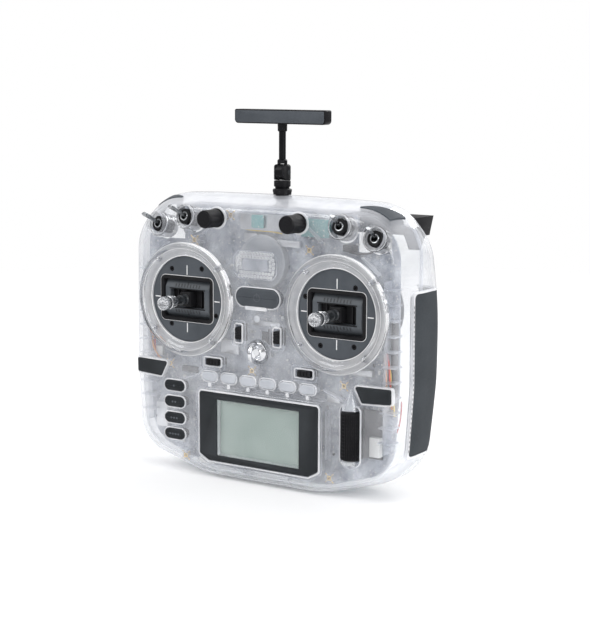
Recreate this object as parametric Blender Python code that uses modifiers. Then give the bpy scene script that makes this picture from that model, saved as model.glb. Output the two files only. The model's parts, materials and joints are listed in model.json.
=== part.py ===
"""A hand-held radio transmitter: a clear two-part case with two stick gimbals, toggles, knobs, keys,
a screen, a scroll roller, side grips and a folding T antenna.

Metres. X runs to the viewer's right, Y runs into the case from its front face, Z runs up.
The origin is on the flat base the transmitter stands on. Depths count from the front face plane.
"""

import math

import bmesh
import bpy
from mathutils import Matrix, Vector

# Case
FACE_Y = -0.030
SEAM = 0.025
WALL = 0.0022
GRIP_WALL = 0.0030
GAP = 0.0003
DEEPEST = 0.0533
DEEPEST_Z = 0.100
SHALLOWEST = 0.036
UPPER_CURVE = 4.0
LOWER_CURVE = 0.9
HALF_SPACE = 0.2
# Corners of the right half outline from the base to the top: x, z, fillet radius. The last is the top.
FRONT_OUTLINE = (
    (0.040, 0.003, 0.060), (0.0925, 0.017, 0.024), (0.0955, 0.070, 0.150),
    (0.0935, 0.170, 0.030), (0.050, 0.1720, 0.100), (0.0, 0.1730, 0.0),
)
SHOULDER_OUTLINE = (
    (0.044, 0.000, 0.060), (0.0945, 0.015, 0.027), (0.0980, 0.070, 0.150),
    (0.0970, 0.1745, 0.031), (0.050, 0.1768, 0.100), (0.0, 0.1775, 0.0),
)
SEAM_OUTLINE = (
    (0.046, 0.000, 0.060), (0.0970, 0.013, 0.030), (0.1010, 0.070, 0.150),
    (0.1010, 0.1775, 0.032), (0.050, 0.1795, 0.100), (0.0, 0.1800, 0.0),
)
OUTLINES = ((0.0, FRONT_OUTLINE), (0.010, SHOULDER_OUTLINE), (SEAM, SEAM_OUTLINE))
CORNER_SEGMENTS = (2, 4, 1, 5, 1)
RUN_PIECES = (1, 2, 2, 5, 2, 2)  # how many pieces each straight run between two corners is split into
# Rings of the case: depth and inset in front of the seam, share of the rear depth and inset behind it.
FRONT_RINGS = ((0.0, 0.0030), (0.0010, 0.0009), (0.0030, 0.0), (0.0100, 0.0), (0.0175, 0.0))
REAR_RINGS = ((0.0, 0.0), (0.62, 0.0), (0.85, 0.0022), (0.95, 0.0050), (1.0, 0.0100))

# Sticks and gimbals
GIMBAL_X, GIMBAL_Z = 0.0558, 0.1130
SURROUND_RADIUS, SURROUND_RISE = 0.0360, 0.0026
OPENING_RADIUS = 0.0278
PLATE_RADIUS, PLATE_DEPTH, PLATE_THICKNESS = 0.0274, 0.0023, 0.0020
WINDOW = (0.0384, 0.0264, 0.0022)
HOUSING_RADIUS, HOUSING_WALL, HOUSING_BACK = 0.0270, 0.0025, 0.0340
PIVOT_DEPTH = 0.0185
DRUM_RADIUS, DRUM_HALF = 0.0130, 0.0195
DRUM_SLOT = (0.0268, 0.0116)
YOKE_PIN_RADIUS, YOKE_PIN_END = 0.0015, 0.0260
STICK_RADIUS, STICK_THREAD = 0.0022, 0.0015
STICK_END_RADIUS, STICK_END_LENGTH = 0.0043, 0.0127
STICK_TIP_DEPTH = -0.0237
HUB = (0.0090, 0.0096, 0.0040)

# Controls on the face
KNOB_X, KNOB_Z, KNOB_RADIUS, KNOB_HEIGHT = 0.0302, 0.1662, 0.0056, 0.0137
TOGGLES = {"outer": (0.0799, 0.0066, 0.1590), "inner": (0.0570, 0.0042, 0.1650)}
TOGGLE_LEAN, TOGGLE_TILT, TOGGLE_THROW = 19, 15, 15
TOGGLE_RADIUS, TOGGLE_LENGTH = 0.0050, 0.0173
POWER = (0.0, 0.1185, 0.0318, 0.0112)
PRESET_Z, PRESET_PITCH, PRESET = 0.0655, 0.0147, (0.0096, 0.0060)
MENU_X, MENU_Z, MENU_PITCH, MENU = -0.0646, 0.0565, 0.01056, (0.0156, 0.0064)
PAGE_KEY = ((0.0705, 0.0712), (0.0752, 0.0620), (0.0945, 0.0630), (0.0945, 0.0717))
TRIM_SIDE = (0.0143, 0.0952, 0.0040, 0.0076)
TRIM_LOW = (0.0342, 0.0750, 0.0090, 0.0040)
TRIM_TRAVEL = 0.0015
KEY_PROUD, KEY_DEPTH = 0.0008, 0.0050
SHOULDER_KEY = ((0.0640, 0.0112), (0.0860, 0.0120), (0.0904, 0.0236), (0.0712, 0.0150))
ROLLER_X, ROLLER_Z = 0.0671, (0.0262, 0.0556)
ROLLER_RADIUS, ROLLER_DEPTH = 0.0060, 0.0012
ROLLER_SLOT = (0.0140, 0.0200, 0.0640)
HOOK_Z, HOOK_RING, HOOK_WIRE, HOOK_BASE = 0.0848, 0.0050, 0.0014, 0.0062

# Screen
BEZEL = ((-0.0443, 0.0153), (-0.0375, 0.0115), (0.0375, 0.0115), (0.0443, 0.0153), (0.0443, 0.0553),
         (-0.0443, 0.0553))
SCREEN = (0.0620, 0.0362, 0.0333)
PANEL = (0.0680, 0.0410)

# Antenna
ANTENNA_DEPTH = 0.0270
ANTENNA_BASE_Z, ANTENNA_BASE_RADIUS, ANTENNA_BASE_HEIGHT = 0.1803, 0.0057, 0.0036
KNUCKLE_TOP, FOLD_Z, FORK_RADIUS = 0.1888, 0.1942, 0.0050
TONGUE_HALF, MAST_RADIUS = 0.0018, 0.00215
BAR = (0.0650, 0.0080, 0.0076)
BAR_Z = 0.2244

# Back
HANDLE_HALF, HANDLE_BACK, HANDLE_Z = 0.0888, 0.0600, (0.1580, 0.1695)
HANDLE_BAR, HANDLE_LEG = 0.0100, 0.0080
GRIP_FRONT, GRIP_Z, GRIP_INNER_X = 0.0185, (0.0280, 0.1265), 0.0860
BATTERY_DOOR = (0.0460, 0.0180, 0.0800)
MODULE_COVER = (0.0260, 0.0980, 0.1500)

# Colours: red, green, blue, roughness, metallic, alpha
CLEAR = (0.86, 0.88, 0.90, 0.10, 0.0, 0.30)
SLATE = (0.082, 0.090, 0.100, 0.50, 0.0, 1.0)
BLACK = (0.012, 0.012, 0.013, 0.45, 0.0, 1.0)
RUBBER = (0.080, 0.088, 0.095, 0.80, 0.0, 1.0)
STEEL = (0.62, 0.62, 0.62, 0.22, 1.0, 1.0)
SCREEN_GREEN = (0.36, 0.41, 0.38, 0.25, 0.0, 1.0)
BOARD_GREEN = (0.02, 0.16, 0.14, 0.45, 0.0, 1.0)
WRAP_BLUE = (0.05, 0.16, 0.42, 0.35, 0.0, 1.0)

FORWARD = Vector((0.0, -1.0, 0.0))
UP = Vector((0.0, 0.0, 1.0))
SIDES = (("left", -1.0), ("right", 1.0))


def at(x, z, depth):
    """A point given across and up the front face, and its depth behind the face plane."""
    return Vector((x, FACE_Y + depth, z))


def clear_scene():
    for thing in list(bpy.data.objects):
        bpy.data.objects.remove(thing, do_unlink=True)


def new_collection(name):
    made = bpy.data.collections.new(name)
    bpy.context.scene.collection.children.link(made)
    return made


def material(name, look):
    made = bpy.data.materials.new(name)
    made.use_nodes = True
    shader = made.node_tree.nodes["Principled BSDF"]
    shader.inputs["Base Color"].default_value = (*look[:3], 1.0)
    shader.inputs["Roughness"].default_value = look[3]
    shader.inputs["Metallic"].default_value = look[4]
    shader.inputs["Alpha"].default_value = look[5]
    return made


def link_mesh(name, mesh, collection):
    made = bpy.data.objects.new(name, mesh)
    collection.objects.link(made)
    return made


def as_cutter(thing):
    """Turns an object into a helper that is never part of the model."""
    for holder in list(thing.users_collection):
        holder.objects.unlink(thing)
    CUTTERS.objects.link(thing)
    thing.hide_render = True
    thing.display_type = "WIRE"
    return thing


def as_part(thing, look, bevel=0.0, segments=1, origin=None, parent=None):
    """Gives a part its material, rounded edges, smooth shading, origin and parent."""
    if origin is not None:
        thing.data.transform(Matrix.Translation(-Vector(origin)) @ thing.matrix_world)
        thing.matrix_world = Matrix.Translation(origin)
    if bevel:
        rounding = thing.modifiers.new("rounded_edges", "BEVEL")
        rounding.width = bevel
        rounding.segments = segments
        rounding.limit_method = "ANGLE"
        rounding.angle_limit = math.radians(50)
    thing.data.shade_smooth()
    thing.data.set_sharp_from_angle(angle=math.radians(40))
    thing.data.materials.append(material(thing.name, look))
    bpy.context.view_layer.update()
    if parent is not None:
        thing.parent = parent
        thing.matrix_parent_inverse = parent.matrix_world.inverted()
    return thing


def boolean(thing, other, operation="DIFFERENCE"):
    """A Boolean with one object, or with all the objects of a list at once."""
    step = thing.modifiers.new(f"{operation.lower()}_{len(thing.modifiers)}", "BOOLEAN")
    step.operation = operation
    if isinstance(other, list):
        group = bpy.data.collections.new(f"{thing.name}_{step.name}")
        CUTTERS.children.link(group)
        for operand in other:
            group.objects.link(operand)
        step.operand_type = "COLLECTION"
        step.collection = group
    else:
        step.object = other
    return thing


def rectangle(width, height, centre=(0.0, 0.0), radius=0.0, segments=3):
    """A rectangle with rounded corners, anticlockwise."""
    corners = ((1, -1, -90), (1, 1, 0), (-1, 1, 90), (-1, -1, 180))
    points = []
    for across, up, start in corners:
        hub = (centre[0] + across * (width / 2 - radius), centre[1] + up * (height / 2 - radius))
        for step in range(segments + 1 if radius else 1):
            angle = math.radians(start + 90 * step / segments)
            points.append((hub[0] + radius * math.cos(angle), hub[1] + radius * math.sin(angle)))
    return points


def circle(radius, centre=(0.0, 0.0), segments=32, flatten=1.0):
    turns = [2 * math.pi * step / segments for step in range(segments)]
    return [(centre[0] + radius * math.cos(turn), centre[1] + flatten * radius * math.sin(turn))
            for turn in turns]


PRISM_TURNS = {
    "Y": Matrix.Rotation(math.radians(90), 4, "X"),
    "Z": Matrix.Identity(4),
    "X": Matrix.Rotation(math.radians(90), 4, "Z") @ Matrix.Rotation(math.radians(90), 4, "X"),
}
PRISM_AXES = {"X": Vector((1, 0, 0)), "Y": Vector((0, 1, 0)), "Z": Vector((0, 0, 1))}


def prism(name, outlines, low, high, axis="Y"):
    """A flat outline, with any inner outlines as holes, extruded from low to high along an axis.

    Along Y the outline is in X and Z, along Z in X and Y, and along X in Y and Z.
    """
    flat = bpy.data.curves.new(name + "_outline", "CURVE")
    flat.dimensions = "2D"
    flat.fill_mode = "BOTH"
    flat.extrude = (high - low) / 2
    for outline in outlines if isinstance(outlines[0], list) else [list(outlines)]:
        spline = flat.splines.new("POLY")
        spline.points.add(len(outline) - 1)
        spline.use_cyclic_u = True
        for point, (first, second) in zip(spline.points, outline):
            point.co = (first, second, 0.0, 1.0)
    holder = link_mesh(name + "_outline", flat, bpy.context.scene.collection)
    holder.matrix_world = Matrix.Translation(PRISM_AXES[axis] * (low + high) / 2) @ PRISM_TURNS[axis]
    bpy.context.view_layer.update()
    graph = bpy.context.evaluated_depsgraph_get()
    mesh = bpy.data.meshes.new_from_object(holder.evaluated_get(graph))
    mesh.name = name
    mesh.materials.clear()
    welded = bmesh.new()
    welded.from_mesh(mesh)
    bmesh.ops.remove_doubles(welded, verts=welded.verts, dist=0.00001)
    bmesh.ops.recalc_face_normals(welded, faces=welded.faces)
    welded.to_mesh(mesh)
    welded.free()
    made = link_mesh(name, mesh, PARTS)
    made.matrix_world = holder.matrix_world.copy()
    bpy.data.objects.remove(holder, do_unlink=True)
    bpy.context.view_layer.update()
    return made


def turned(name, profile, place, direction=FORWARD, steps=24, ring=False):
    """A turned piece: radius and height pairs that run down the outer side, about a direction."""
    mesh = bpy.data.meshes.new(name)
    line = bmesh.new()
    points = [line.verts.new((radius, 0.0, height)) for radius, height in profile]
    for first, second in zip(points, points[1:]):
        line.edges.new((first, second))
    if ring:
        line.edges.new((points[-1], points[0]))
    line.to_mesh(mesh)
    line.free()
    made = link_mesh(name, mesh, PARTS)
    turn = UP.rotation_difference(Vector(direction).normalized()).to_matrix().to_4x4()
    made.matrix_world = Matrix.Translation(place) @ turn
    screw = made.modifiers.new("turned", "SCREW")
    screw.axis = "Z"
    screw.steps = screw.render_steps = steps
    screw.use_merge_vertices = True
    screw.merge_threshold = 0.00001
    screw.use_smooth_shade = True
    bpy.context.view_layer.update()
    return made


def solid_turned(*args, **kwargs):
    """A turned piece as a plain mesh with its modifier applied, ready for Booleans."""
    rough = turned(*args, **kwargs)
    graph = bpy.context.evaluated_depsgraph_get()
    mesh = bpy.data.meshes.new_from_object(rough.evaluated_get(graph))
    name, place = rough.name, rough.matrix_world.copy()
    bpy.data.objects.remove(rough, do_unlink=True)
    mesh.name = name
    made = link_mesh(name, mesh, PARTS)
    made.matrix_world = place
    return made


def fillet(before, corner, after, radius, segments):
    """Points of the arc that rounds one corner."""
    corner = Vector(corner)
    back, ahead = (Vector(before) - corner).normalized(), (Vector(after) - corner).normalized()
    half = back.angle(ahead) / 2
    reach = radius / math.tan(half)
    hub = corner + (back + ahead).normalized() * radius / math.sin(half)
    first, last = corner + back * reach - hub, corner + ahead * reach - hub
    sweep = first.angle(last)
    points = []
    for step in range(segments + 1):
        share = step / segments
        mix = (first * math.sin((1 - share) * sweep) + last * math.sin(share * sweep)) / math.sin(sweep)
        points.append(hub + mix)
    return points


def outline_at(depth):
    """The right half outline of the case at a depth, from the base's middle to the top's middle."""
    depth = min(max(depth, 0.0), SEAM)
    for (near, inner), (far, outer) in zip(OUTLINES, OUTLINES[1:]):
        if depth <= far:
            share = (depth - near) / (far - near)
            break
    corners = [tuple(a + (b - a) * share for a, b in zip(*pair)) for pair in zip(inner, outer)]
    places = [(0.0, corners[0][1])] + [corner[:2] for corner in corners]
    runs = [[Vector(places[0])]]
    for number, (corner, segments) in enumerate(zip(corners[:-1], CORNER_SEGMENTS)):
        runs.append(fillet(places[number], places[number + 1], places[number + 2], corner[2], segments))
    runs.append([Vector(places[-1])])
    points = runs[0]
    for run, pieces in zip(runs[1:], RUN_PIECES):
        points += [points[-1].lerp(run[0], step / pieces) for step in range(1, pieces)] + run
    return points


def inset_outline(points, inset):
    """Moves each point of the half outline inwards along its normal."""
    mirrored = [Vector((-points[1].x, points[1].y))] + points + [Vector((-points[-2].x, points[-2].y))]
    moved = []
    for before, point, after in zip(mirrored, mirrored[1:], mirrored[2:]):
        ways = [(point - before).normalized(), (after - point).normalized()]
        normals = [Vector((-way.y, way.x)) for way in ways]
        bisector = (normals[0] + normals[1]).normalized()
        moved.append(point + bisector * inset / bisector.dot(normals[0]))
    moved[0].x = moved[-1].x = 0.0
    return moved


def back_depth(z):
    """How deep the back of the case lies at a height."""
    curve = UPPER_CURVE if z > DEEPEST_Z else LOWER_CURVE
    return max(DEEPEST - curve * (z - DEEPEST_Z) ** 2, SHALLOWEST)


def case_rings(wall):
    """Rings of (x, depth, z) for the case's outer form, moved inwards by a wall thickness."""
    rings = []
    for depth, inset in FRONT_RINGS:
        points = inset_outline(outline_at(depth), inset + wall)
        near = depth + wall * max(1 - depth / 0.010, 0)
        rings.append([(point.x, near, point.y) for point in points])
    seam_outline = outline_at(SEAM)
    for share, inset in REAR_RINGS:
        points = inset_outline(seam_outline, inset + wall)
        depths = [SEAM + (back_depth(point.y) - SEAM) * share - wall * share ** 4 for point in seam_outline]
        rings.append([(point.x, depth, point.y) for point, depth in zip(points, depths)])
    return rings


def case_form(name, wall=0.0):
    """The case as one closed form, smaller by a wall thickness: a loft, with caps of level strips."""
    form = bmesh.new()
    loops = []
    for ring in case_rings(wall):
        mirrored = [(-x, depth, z) for x, depth, z in ring[-2:0:-1]]
        loops.append([form.verts.new((x, FACE_Y + depth, z)) for x, depth, z in ring + mirrored])
    count, last = len(loops[0]), len(loops[0]) // 2
    for lower, upper in zip(loops, loops[1:]):
        for step in range(count):
            after = (step + 1) % count
            form.faces.new((lower[step], lower[after], upper[after], upper[step]))
    for loop in (loops[0], loops[-1]):
        form.faces.new((loop[0], loop[1], loop[-1]))
        form.faces.new((loop[last - 1], loop[last], loop[last + 1]))
        for step in range(1, last - 1):
            form.faces.new((loop[step], loop[step + 1], loop[count - step - 1], loop[count - step]))
    bmesh.ops.recalc_face_normals(form, faces=form.faces)
    mesh = bpy.data.meshes.new(name)
    form.to_mesh(mesh)
    form.free()
    return link_mesh(name, mesh, PARTS)


def depth_range(low, high):
    return FACE_Y + low, FACE_Y + high


def mirrored_points(points, side):
    return [(side * x, z) for x, z in (points if side > 0 else reversed(points))]


def grown(points, by):
    """A convex outline, anticlockwise, moved outwards by a clearance."""
    moved = []
    for before, point, after in zip(points[-1:] + points[:-1], points, points[1:] + points[:1]):
        ways = [(Vector(point) - Vector(before)).normalized(), (Vector(after) - Vector(point)).normalized()]
        normals = [Vector((way.y, -way.x)) for way in ways]
        bisector = (normals[0] + normals[1]).normalized()
        moved.append(tuple(Vector(point) + bisector * by / bisector.dot(normals[0])))
    return moved


def toggle_frame(name, side):
    """Centre of a toggle's collar, its bushing's direction, the lever's direction and the swing axis."""
    x, depth, z = TOGGLES[name]
    lean = math.radians(TOGGLE_LEAN)
    outward_up = Vector((side * math.sin(lean), 0.0, math.cos(lean)))
    axis = outward_up.cross(FORWARD) * -1.0

    def tilted(degrees):
        angle = math.radians(degrees)
        return FORWARD * math.cos(angle) + outward_up * math.sin(angle)

    return at(side * x, z, depth), tilted(TOGGLE_TILT), tilted(TOGGLE_TILT + TOGGLE_THROW), axis


# Outlines of the pieces that sit in openings of the case


def stadium(width, height, centre):
    return rectangle(width, height, centre, radius=height / 2 - 0.00001, segments=5)


def key_outlines():
    """Every key that moves straight into the face, by name."""
    keys = {"power_button": stadium(POWER[2], POWER[3], POWER[:2])}
    for number in range(6):
        x = (number - 2.5) * PRESET_PITCH
        keys[f"preset_button_{number + 1}"] = circle(
            PRESET[0] / 2, (x, PRESET_Z), 18, PRESET[1] / PRESET[0])
    for number in range(4):
        keys[f"menu_button_{number + 1}"] = stadium(*MENU, (MENU_X, MENU_Z - number * MENU_PITCH))
    return keys


def shoulder_region(side, clearance):
    return grown(mirrored_points([(x, FACE_Y + depth) for x, depth in SHOULDER_KEY], side), clearance)


def grip_region(clearance):
    low, high = GRIP_Z
    near, far = GRIP_FRONT, DEEPEST + 0.010
    centre = (FACE_Y + (near + far) / 2, (low + high) / 2)
    return rectangle(far - near + 2 * clearance, high - low + 2 * clearance, centre, 0.003, 2)


def side_slab(name, outline, side, inner):
    """An outline in Y and Z run through one side of the case."""
    ends = sorted((side * inner, side * HALF_SPACE))
    return prism(name, outline, *ends, axis="X")


def through(name, outline, low=-0.006, high=0.0095):
    """A cutter through the front face."""
    return as_cutter(prism(name, outline, *depth_range(low, high)))


def round_cutter(name, radius, place, direction, reach=0.020):
    profile = ((0.0, reach), (radius, reach), (radius, -reach), (0.0, -reach))
    return as_cutter(solid_turned(name, profile, place, direction))


def face_cutters():
    """Cutters for every opening in the front half of the case."""
    cutters = []
    for side_name, side in SIDES:
        centre = (side * GIMBAL_X, GIMBAL_Z)
        cutters.append(through(f"gimbal_opening_{side_name}", circle(OPENING_RADIUS, centre, 40)))
        cutters.append(through(f"knob_hole_{side_name}", circle(0.0035, (side * KNOB_X, KNOB_Z), 16)))
        for name in TOGGLES:
            place, bushing, _, _ = toggle_frame(name, side)
            cutters.append(round_cutter(f"toggle_well_{name}_{side_name}", 0.0070, place, bushing))
        for trim, slide in ((TRIM_SIDE, (0.0, 1.0)), (TRIM_LOW, (1.0, 0.0))):
            width = trim[2] + 2 * (GAP + slide[0] * (TRIM_TRAVEL + GAP))
            height = trim[3] + 2 * (GAP + slide[1] * (TRIM_TRAVEL + GAP))
            outline = rectangle(width, height, (side * trim[0], trim[1]))
            cutters.append(through(f"trim_slot_{len(cutters)}", outline))
        page = grown(mirrored_points(PAGE_KEY, side), GAP)
        cutters.append(through(f"page_opening_{side_name}", page, high=KEY_DEPTH + 0.003))
        shoulder = prism(f"shoulder_opening_{side_name}", shoulder_region(side, GAP), 0.153, 0.190, "Z")
        cutters.append(as_cutter(shoulder))
    for name, outline in key_outlines().items():
        cutters.append(through(f"{name}_opening", grown(outline, GAP)))
    cutters.append(through("screen_opening", grown(list(BEZEL), GAP)))
    width, low, high = ROLLER_SLOT
    slot = rectangle(width, high - low, (ROLLER_X, (high + low) / 2), 0.004)
    cutters.append(through("roller_opening", slot))
    cutters.append(through("hook_opening", circle(HOOK_BASE + GAP, (0.0, HOOK_Z), 24)))
    return cutters


def grip_cutters():
    outline = grip_region(GAP)
    return [as_cutter(side_slab(f"grip_opening_{name}", outline, side, GRIP_INNER_X - GAP))
            for name, side in SIDES]


def antenna_cutter():
    place = at(0.0, ANTENNA_BASE_Z, ANTENNA_DEPTH)
    return round_cutter("antenna_opening", 0.0040 + GAP, place, UP)


def half_space(name, low, high):
    outline = rectangle(2 * HALF_SPACE, 3 * HALF_SPACE)
    return as_cutter(prism(name, outline, *depth_range(low, high)))


def front_shell():
    shell = case_form("front_shell")
    surrounds = []
    for name, side in SIDES:
        rise = SURROUND_RISE
        profile = ((OPENING_RADIUS - 0.001, -0.001), (OPENING_RADIUS - 0.001, rise * 0.3),
                   (OPENING_RADIUS + 0.002, rise), (SURROUND_RADIUS - 0.002, rise),
                   (SURROUND_RADIUS, -0.001))
        place = at(side * GIMBAL_X, GIMBAL_Z, 0.0)
        surround = solid_turned(f"surround_{name}", profile, place, steps=40, ring=True)
        surrounds.append(as_cutter(surround))
    boolean(shell, surrounds, "UNION")
    hollow = [as_cutter(case_form("front_hollow", WALL)), half_space("behind_the_seam", SEAM, HALF_SPACE)]
    boolean(shell, hollow + face_cutters() + [ANTENNA_CUTTER] + GRIP_CUTTERS)
    return as_part(shell, CLEAR)


def back_panel(name, half_width, low, high, look, clearance=GAP):
    """A lift-off panel in the back wall, and the cutter of its opening."""
    centre = (0.0, (low + high) / 2)
    outline = rectangle(2 * half_width, high - low, centre, 0.006, 3)
    near, far = depth_range(SEAM + 0.006, DEEPEST + 0.010)
    panel = case_form(name, 0.0)
    boolean(panel, as_cutter(prism(f"{name}_outline", outline, near, far)), "INTERSECT")
    boolean(panel, as_cutter(case_form(f"{name}_inside", WALL)))
    opening = as_cutter(prism(f"{name}_opening", grown(outline, clearance), near, far))
    return as_part(panel, look, origin=at(0.0, centre[1], DEEPEST)), opening


def rear_shell(openings):
    shell = case_form("rear_shell")
    hollow = [as_cutter(case_form("rear_hollow", WALL)), half_space("before_the_seam", -HALF_SPACE, SEAM + GAP)]
    boolean(shell, hollow + GRIP_CUTTERS + [ANTENNA_CUTTER] + openings)
    return as_part(shell, CLEAR)


def side_grip(name, side):
    grip = case_form(f"grip_{name}")
    slab = as_cutter(side_slab(f"grip_region_{name}", grip_region(0.0), side, GRIP_INNER_X))
    boolean(grip, slab, "INTERSECT")
    boolean(grip, as_cutter(case_form(f"grip_inside_{name}", GRIP_WALL)))
    return as_part(grip, RUBBER)


def shoulder_button(name, side):
    key = case_form(f"shoulder_button_{name}", -0.0004)
    region = prism(f"shoulder_region_{name}", shoulder_region(side, 0.0), 0.150, 0.190, "Z")
    boolean(key, as_cutter(region), "INTERSECT")
    boolean(key, as_cutter(case_form(f"shoulder_inside_{name}", 0.0040)))
    place = (0.0790 * side, FACE_Y + 0.0160, 0.173)
    return as_part(key, SLATE, origin=place)


def rear_handle():
    """A carrying bar on two swept legs at the top of the back."""
    low, high = HANDLE_Z
    outer, inner = HANDLE_HALF, HANDLE_HALF - HANDLE_LEG
    root, bar = 0.030, HANDLE_BACK - HANDLE_BAR
    outline = [(-outer, root), (-inner, root), (-inner, bar), (inner, bar), (inner, root), (outer, root),
               (outer, HANDLE_BACK), (-outer, HANDLE_BACK)]
    handle = prism("rear_handle", [(x, FACE_Y + depth) for x, depth in outline], low, high, "Z")
    for name, side in SIDES:
        gusset = [(0.030, 0.148), (0.045, 0.150), (0.0545, low - 0.002), (HANDLE_BACK - 0.002, low + 0.004),
                  (0.030, low + 0.004)]
        ends = sorted((side * (inner + GAP), side * (outer - GAP)))
        web = prism(f"handle_web_{name}", [(FACE_Y + depth, z) for depth, z in gusset], *ends, axis="X")
        boolean(handle, as_cutter(web), "UNION")
    boolean(handle, as_cutter(case_form("handle_seat", -GAP)))
    return as_part(handle, BLACK)


def key(name, outline, look, bevel=0.0005):
    centre = [sum(values) / len(values) for values in zip(*outline)]
    made = prism(name, outline, *depth_range(-KEY_PROUD, KEY_DEPTH))
    return as_part(made, look, bevel, 1, origin=at(*centre, 0.0))


def page_button(name, side):
    outline = mirrored_points(PAGE_KEY, side)
    made = prism(f"page_button_{name}", outline, *depth_range(-0.004, KEY_DEPTH))
    boolean(made, as_cutter(case_form(f"page_limit_{name}", -0.0006)), "INTERSECT")
    return as_part(made, SLATE, origin=at(side * 0.082, 0.0668, 0.0))


def trim_tab(name, trim, side):
    x, z, width, height = trim
    outline = rectangle(width, height, (side * x, z))
    made = prism(name, outline, *depth_range(-0.0018, 0.0060))
    return as_part(made, BLACK, 0.0004, 1, origin=at(side * x, z, 0.0))


def gimbal(name, side):
    """Face plate, housing, drum-shaped yoke, stick and stick end of one gimbal."""
    x = side * GIMBAL_X
    centre = (x, GIMBAL_Z)
    window = rectangle(WINDOW[0], WINDOW[1], centre, WINDOW[2])
    plate = prism(f"gimbal_plate_{name}", [circle(PLATE_RADIUS, centre, 40), window],
                  *depth_range(PLATE_DEPTH, PLATE_DEPTH + PLATE_THICKNESS))
    as_part(plate, SLATE)

    pivot = at(x, GIMBAL_Z, PIVOT_DEPTH)
    rim = PIVOT_DEPTH - PLATE_DEPTH - PLATE_THICKNESS - GAP
    floor = PIVOT_DEPTH - HOUSING_BACK
    inner = HOUSING_RADIUS - HOUSING_WALL
    cup = ((0.0, floor + HOUSING_WALL), (inner, floor + HOUSING_WALL), (inner, rim),
           (HOUSING_RADIUS, rim), (HOUSING_RADIUS, floor), (0.0, floor))
    housing = solid_turned(f"gimbal_housing_{name}", cup, pivot, steps=28)
    pin_hole = prism(f"yoke_bore_{name}", circle(YOKE_PIN_RADIUS + GAP, (pivot.y, GIMBAL_Z), 12),
                     x - 0.030, x + 0.030, "X")
    boolean(housing, as_cutter(pin_hole))
    as_part(housing, BLACK)

    drum = prism(f"gimbal_yoke_{name}", circle(DRUM_RADIUS, (pivot.y, GIMBAL_Z), 28),
                 x - DRUM_HALF, x + DRUM_HALF, "X")
    pin = prism(f"yoke_pin_{name}", circle(YOKE_PIN_RADIUS, (pivot.y, GIMBAL_Z), 12),
                x - YOKE_PIN_END, x + YOKE_PIN_END, "X")
    boolean(drum, as_cutter(pin), "UNION")
    slot = rectangle(DRUM_SLOT[0], DRUM_SLOT[1], centre, 0.001, 1)
    boolean(drum, as_cutter(prism(f"drum_slot_{name}", slot, pivot.y - 0.02, pivot.y + 0.02)))
    cross = prism(f"stick_bore_{name}", circle(0.0015 + GAP, (x, pivot.y), 12),
                  GIMBAL_Z - 0.0088, GIMBAL_Z + 0.0088, "Z")
    boolean(drum, as_cutter(cross))
    as_part(drum, SLATE, origin=pivot)

    base = PIVOT_DEPTH - STICK_TIP_DEPTH - STICK_END_LENGTH
    hub_front = PIVOT_DEPTH - 0.0005
    hub_back = hub_front - HUB[2]
    shaft_profile = ((0.0, base + 0.0075), (STICK_THREAD, base + 0.0075), (STICK_THREAD, base - GAP),
                     (STICK_RADIUS, base - GAP), (STICK_RADIUS, -0.008), (0.0, -0.008))
    shaft = solid_turned(f"stick_shaft_{name}", shaft_profile, pivot, steps=16)
    hub = prism(f"stick_hub_{name}", rectangle(HUB[0], HUB[1], centre), pivot.y - hub_front,
                pivot.y - hub_back)
    boolean(shaft, as_cutter(hub), "UNION")
    cross_pin = prism(f"stick_pin_{name}", circle(0.0015, (x, pivot.y), 12),
                      GIMBAL_Z - 0.0085, GIMBAL_Z + 0.0085, "Z")
    boolean(shaft, as_cutter(cross_pin), "UNION")
    as_part(shaft, BLACK, origin=pivot, parent=drum)

    length, radius = STICK_END_LENGTH, STICK_END_RADIUS
    bore = STICK_THREAD + GAP
    end_profile = ((0.0, length - 0.0008), (radius * 0.55, length - 0.0008), (radius * 0.7, length),
                   (radius, length - 0.0008), (radius, length * 0.62), (radius * 0.80, length * 0.52),
                   (radius * 0.86, 0.0008), (radius * 0.72, 0.0), (bore, 0.0), (bore, 0.0082), (0.0, 0.0082))
    end = turned(f"stick_end_{name}", end_profile, at(x, GIMBAL_Z, PIVOT_DEPTH - base))
    as_part(end, STEEL, parent=shaft)


def toggle(kind, name, side):
    """A toggle's threaded bushing with its collar nut, and its lever."""
    place, direction, lever_way, _ = toggle_frame(kind, side)
    outer, throat = TOGGLE_RADIUS, 0.0024
    bushing_profile = ((0.0, -0.0045), (throat, -0.0045), (throat, 0.0030), (outer - 0.0012, 0.0030),
                       (outer - 0.0004, 0.0024), (outer, 0.0010), (outer, -0.0030), (0.0062, -0.0032),
                       (0.0062, -0.0120), (0.0, -0.0120))
    body = turned(f"toggle_body_{kind}_{name}", bushing_profile, place, direction, steps=20)
    as_part(body, BLACK)
    reach = TOGGLE_LENGTH
    lever_profile = ((0.0, reach), (0.0011, reach - 0.0004), (0.0016, reach - 0.0014),
                     (0.0015, reach - 0.0045), (0.0010, 0.0040), (0.0012, 0.0), (0.0010, -0.0012),
                     (0.0, -0.0016))
    lever = turned(f"toggle_lever_{kind}_{name}", lever_profile, place, lever_way, steps=14)
    as_part(lever, STEEL)


def knob(name, side):
    radius, height = KNOB_RADIUS, KNOB_HEIGHT
    profile = ((0.0, height), (radius - 0.0005, height), (radius, height - 0.0005), (radius, 0.0012),
               (radius + 0.0004, 0.0008), (radius + 0.0004, 0.0), (0.0030, 0.0), (0.0030, -0.0100),
               (0.0, -0.0100))
    made = turned(f"knob_{name}", profile, at(side * KNOB_X, KNOB_Z, -0.0007), steps=24)
    as_part(made, BLACK)


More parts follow.
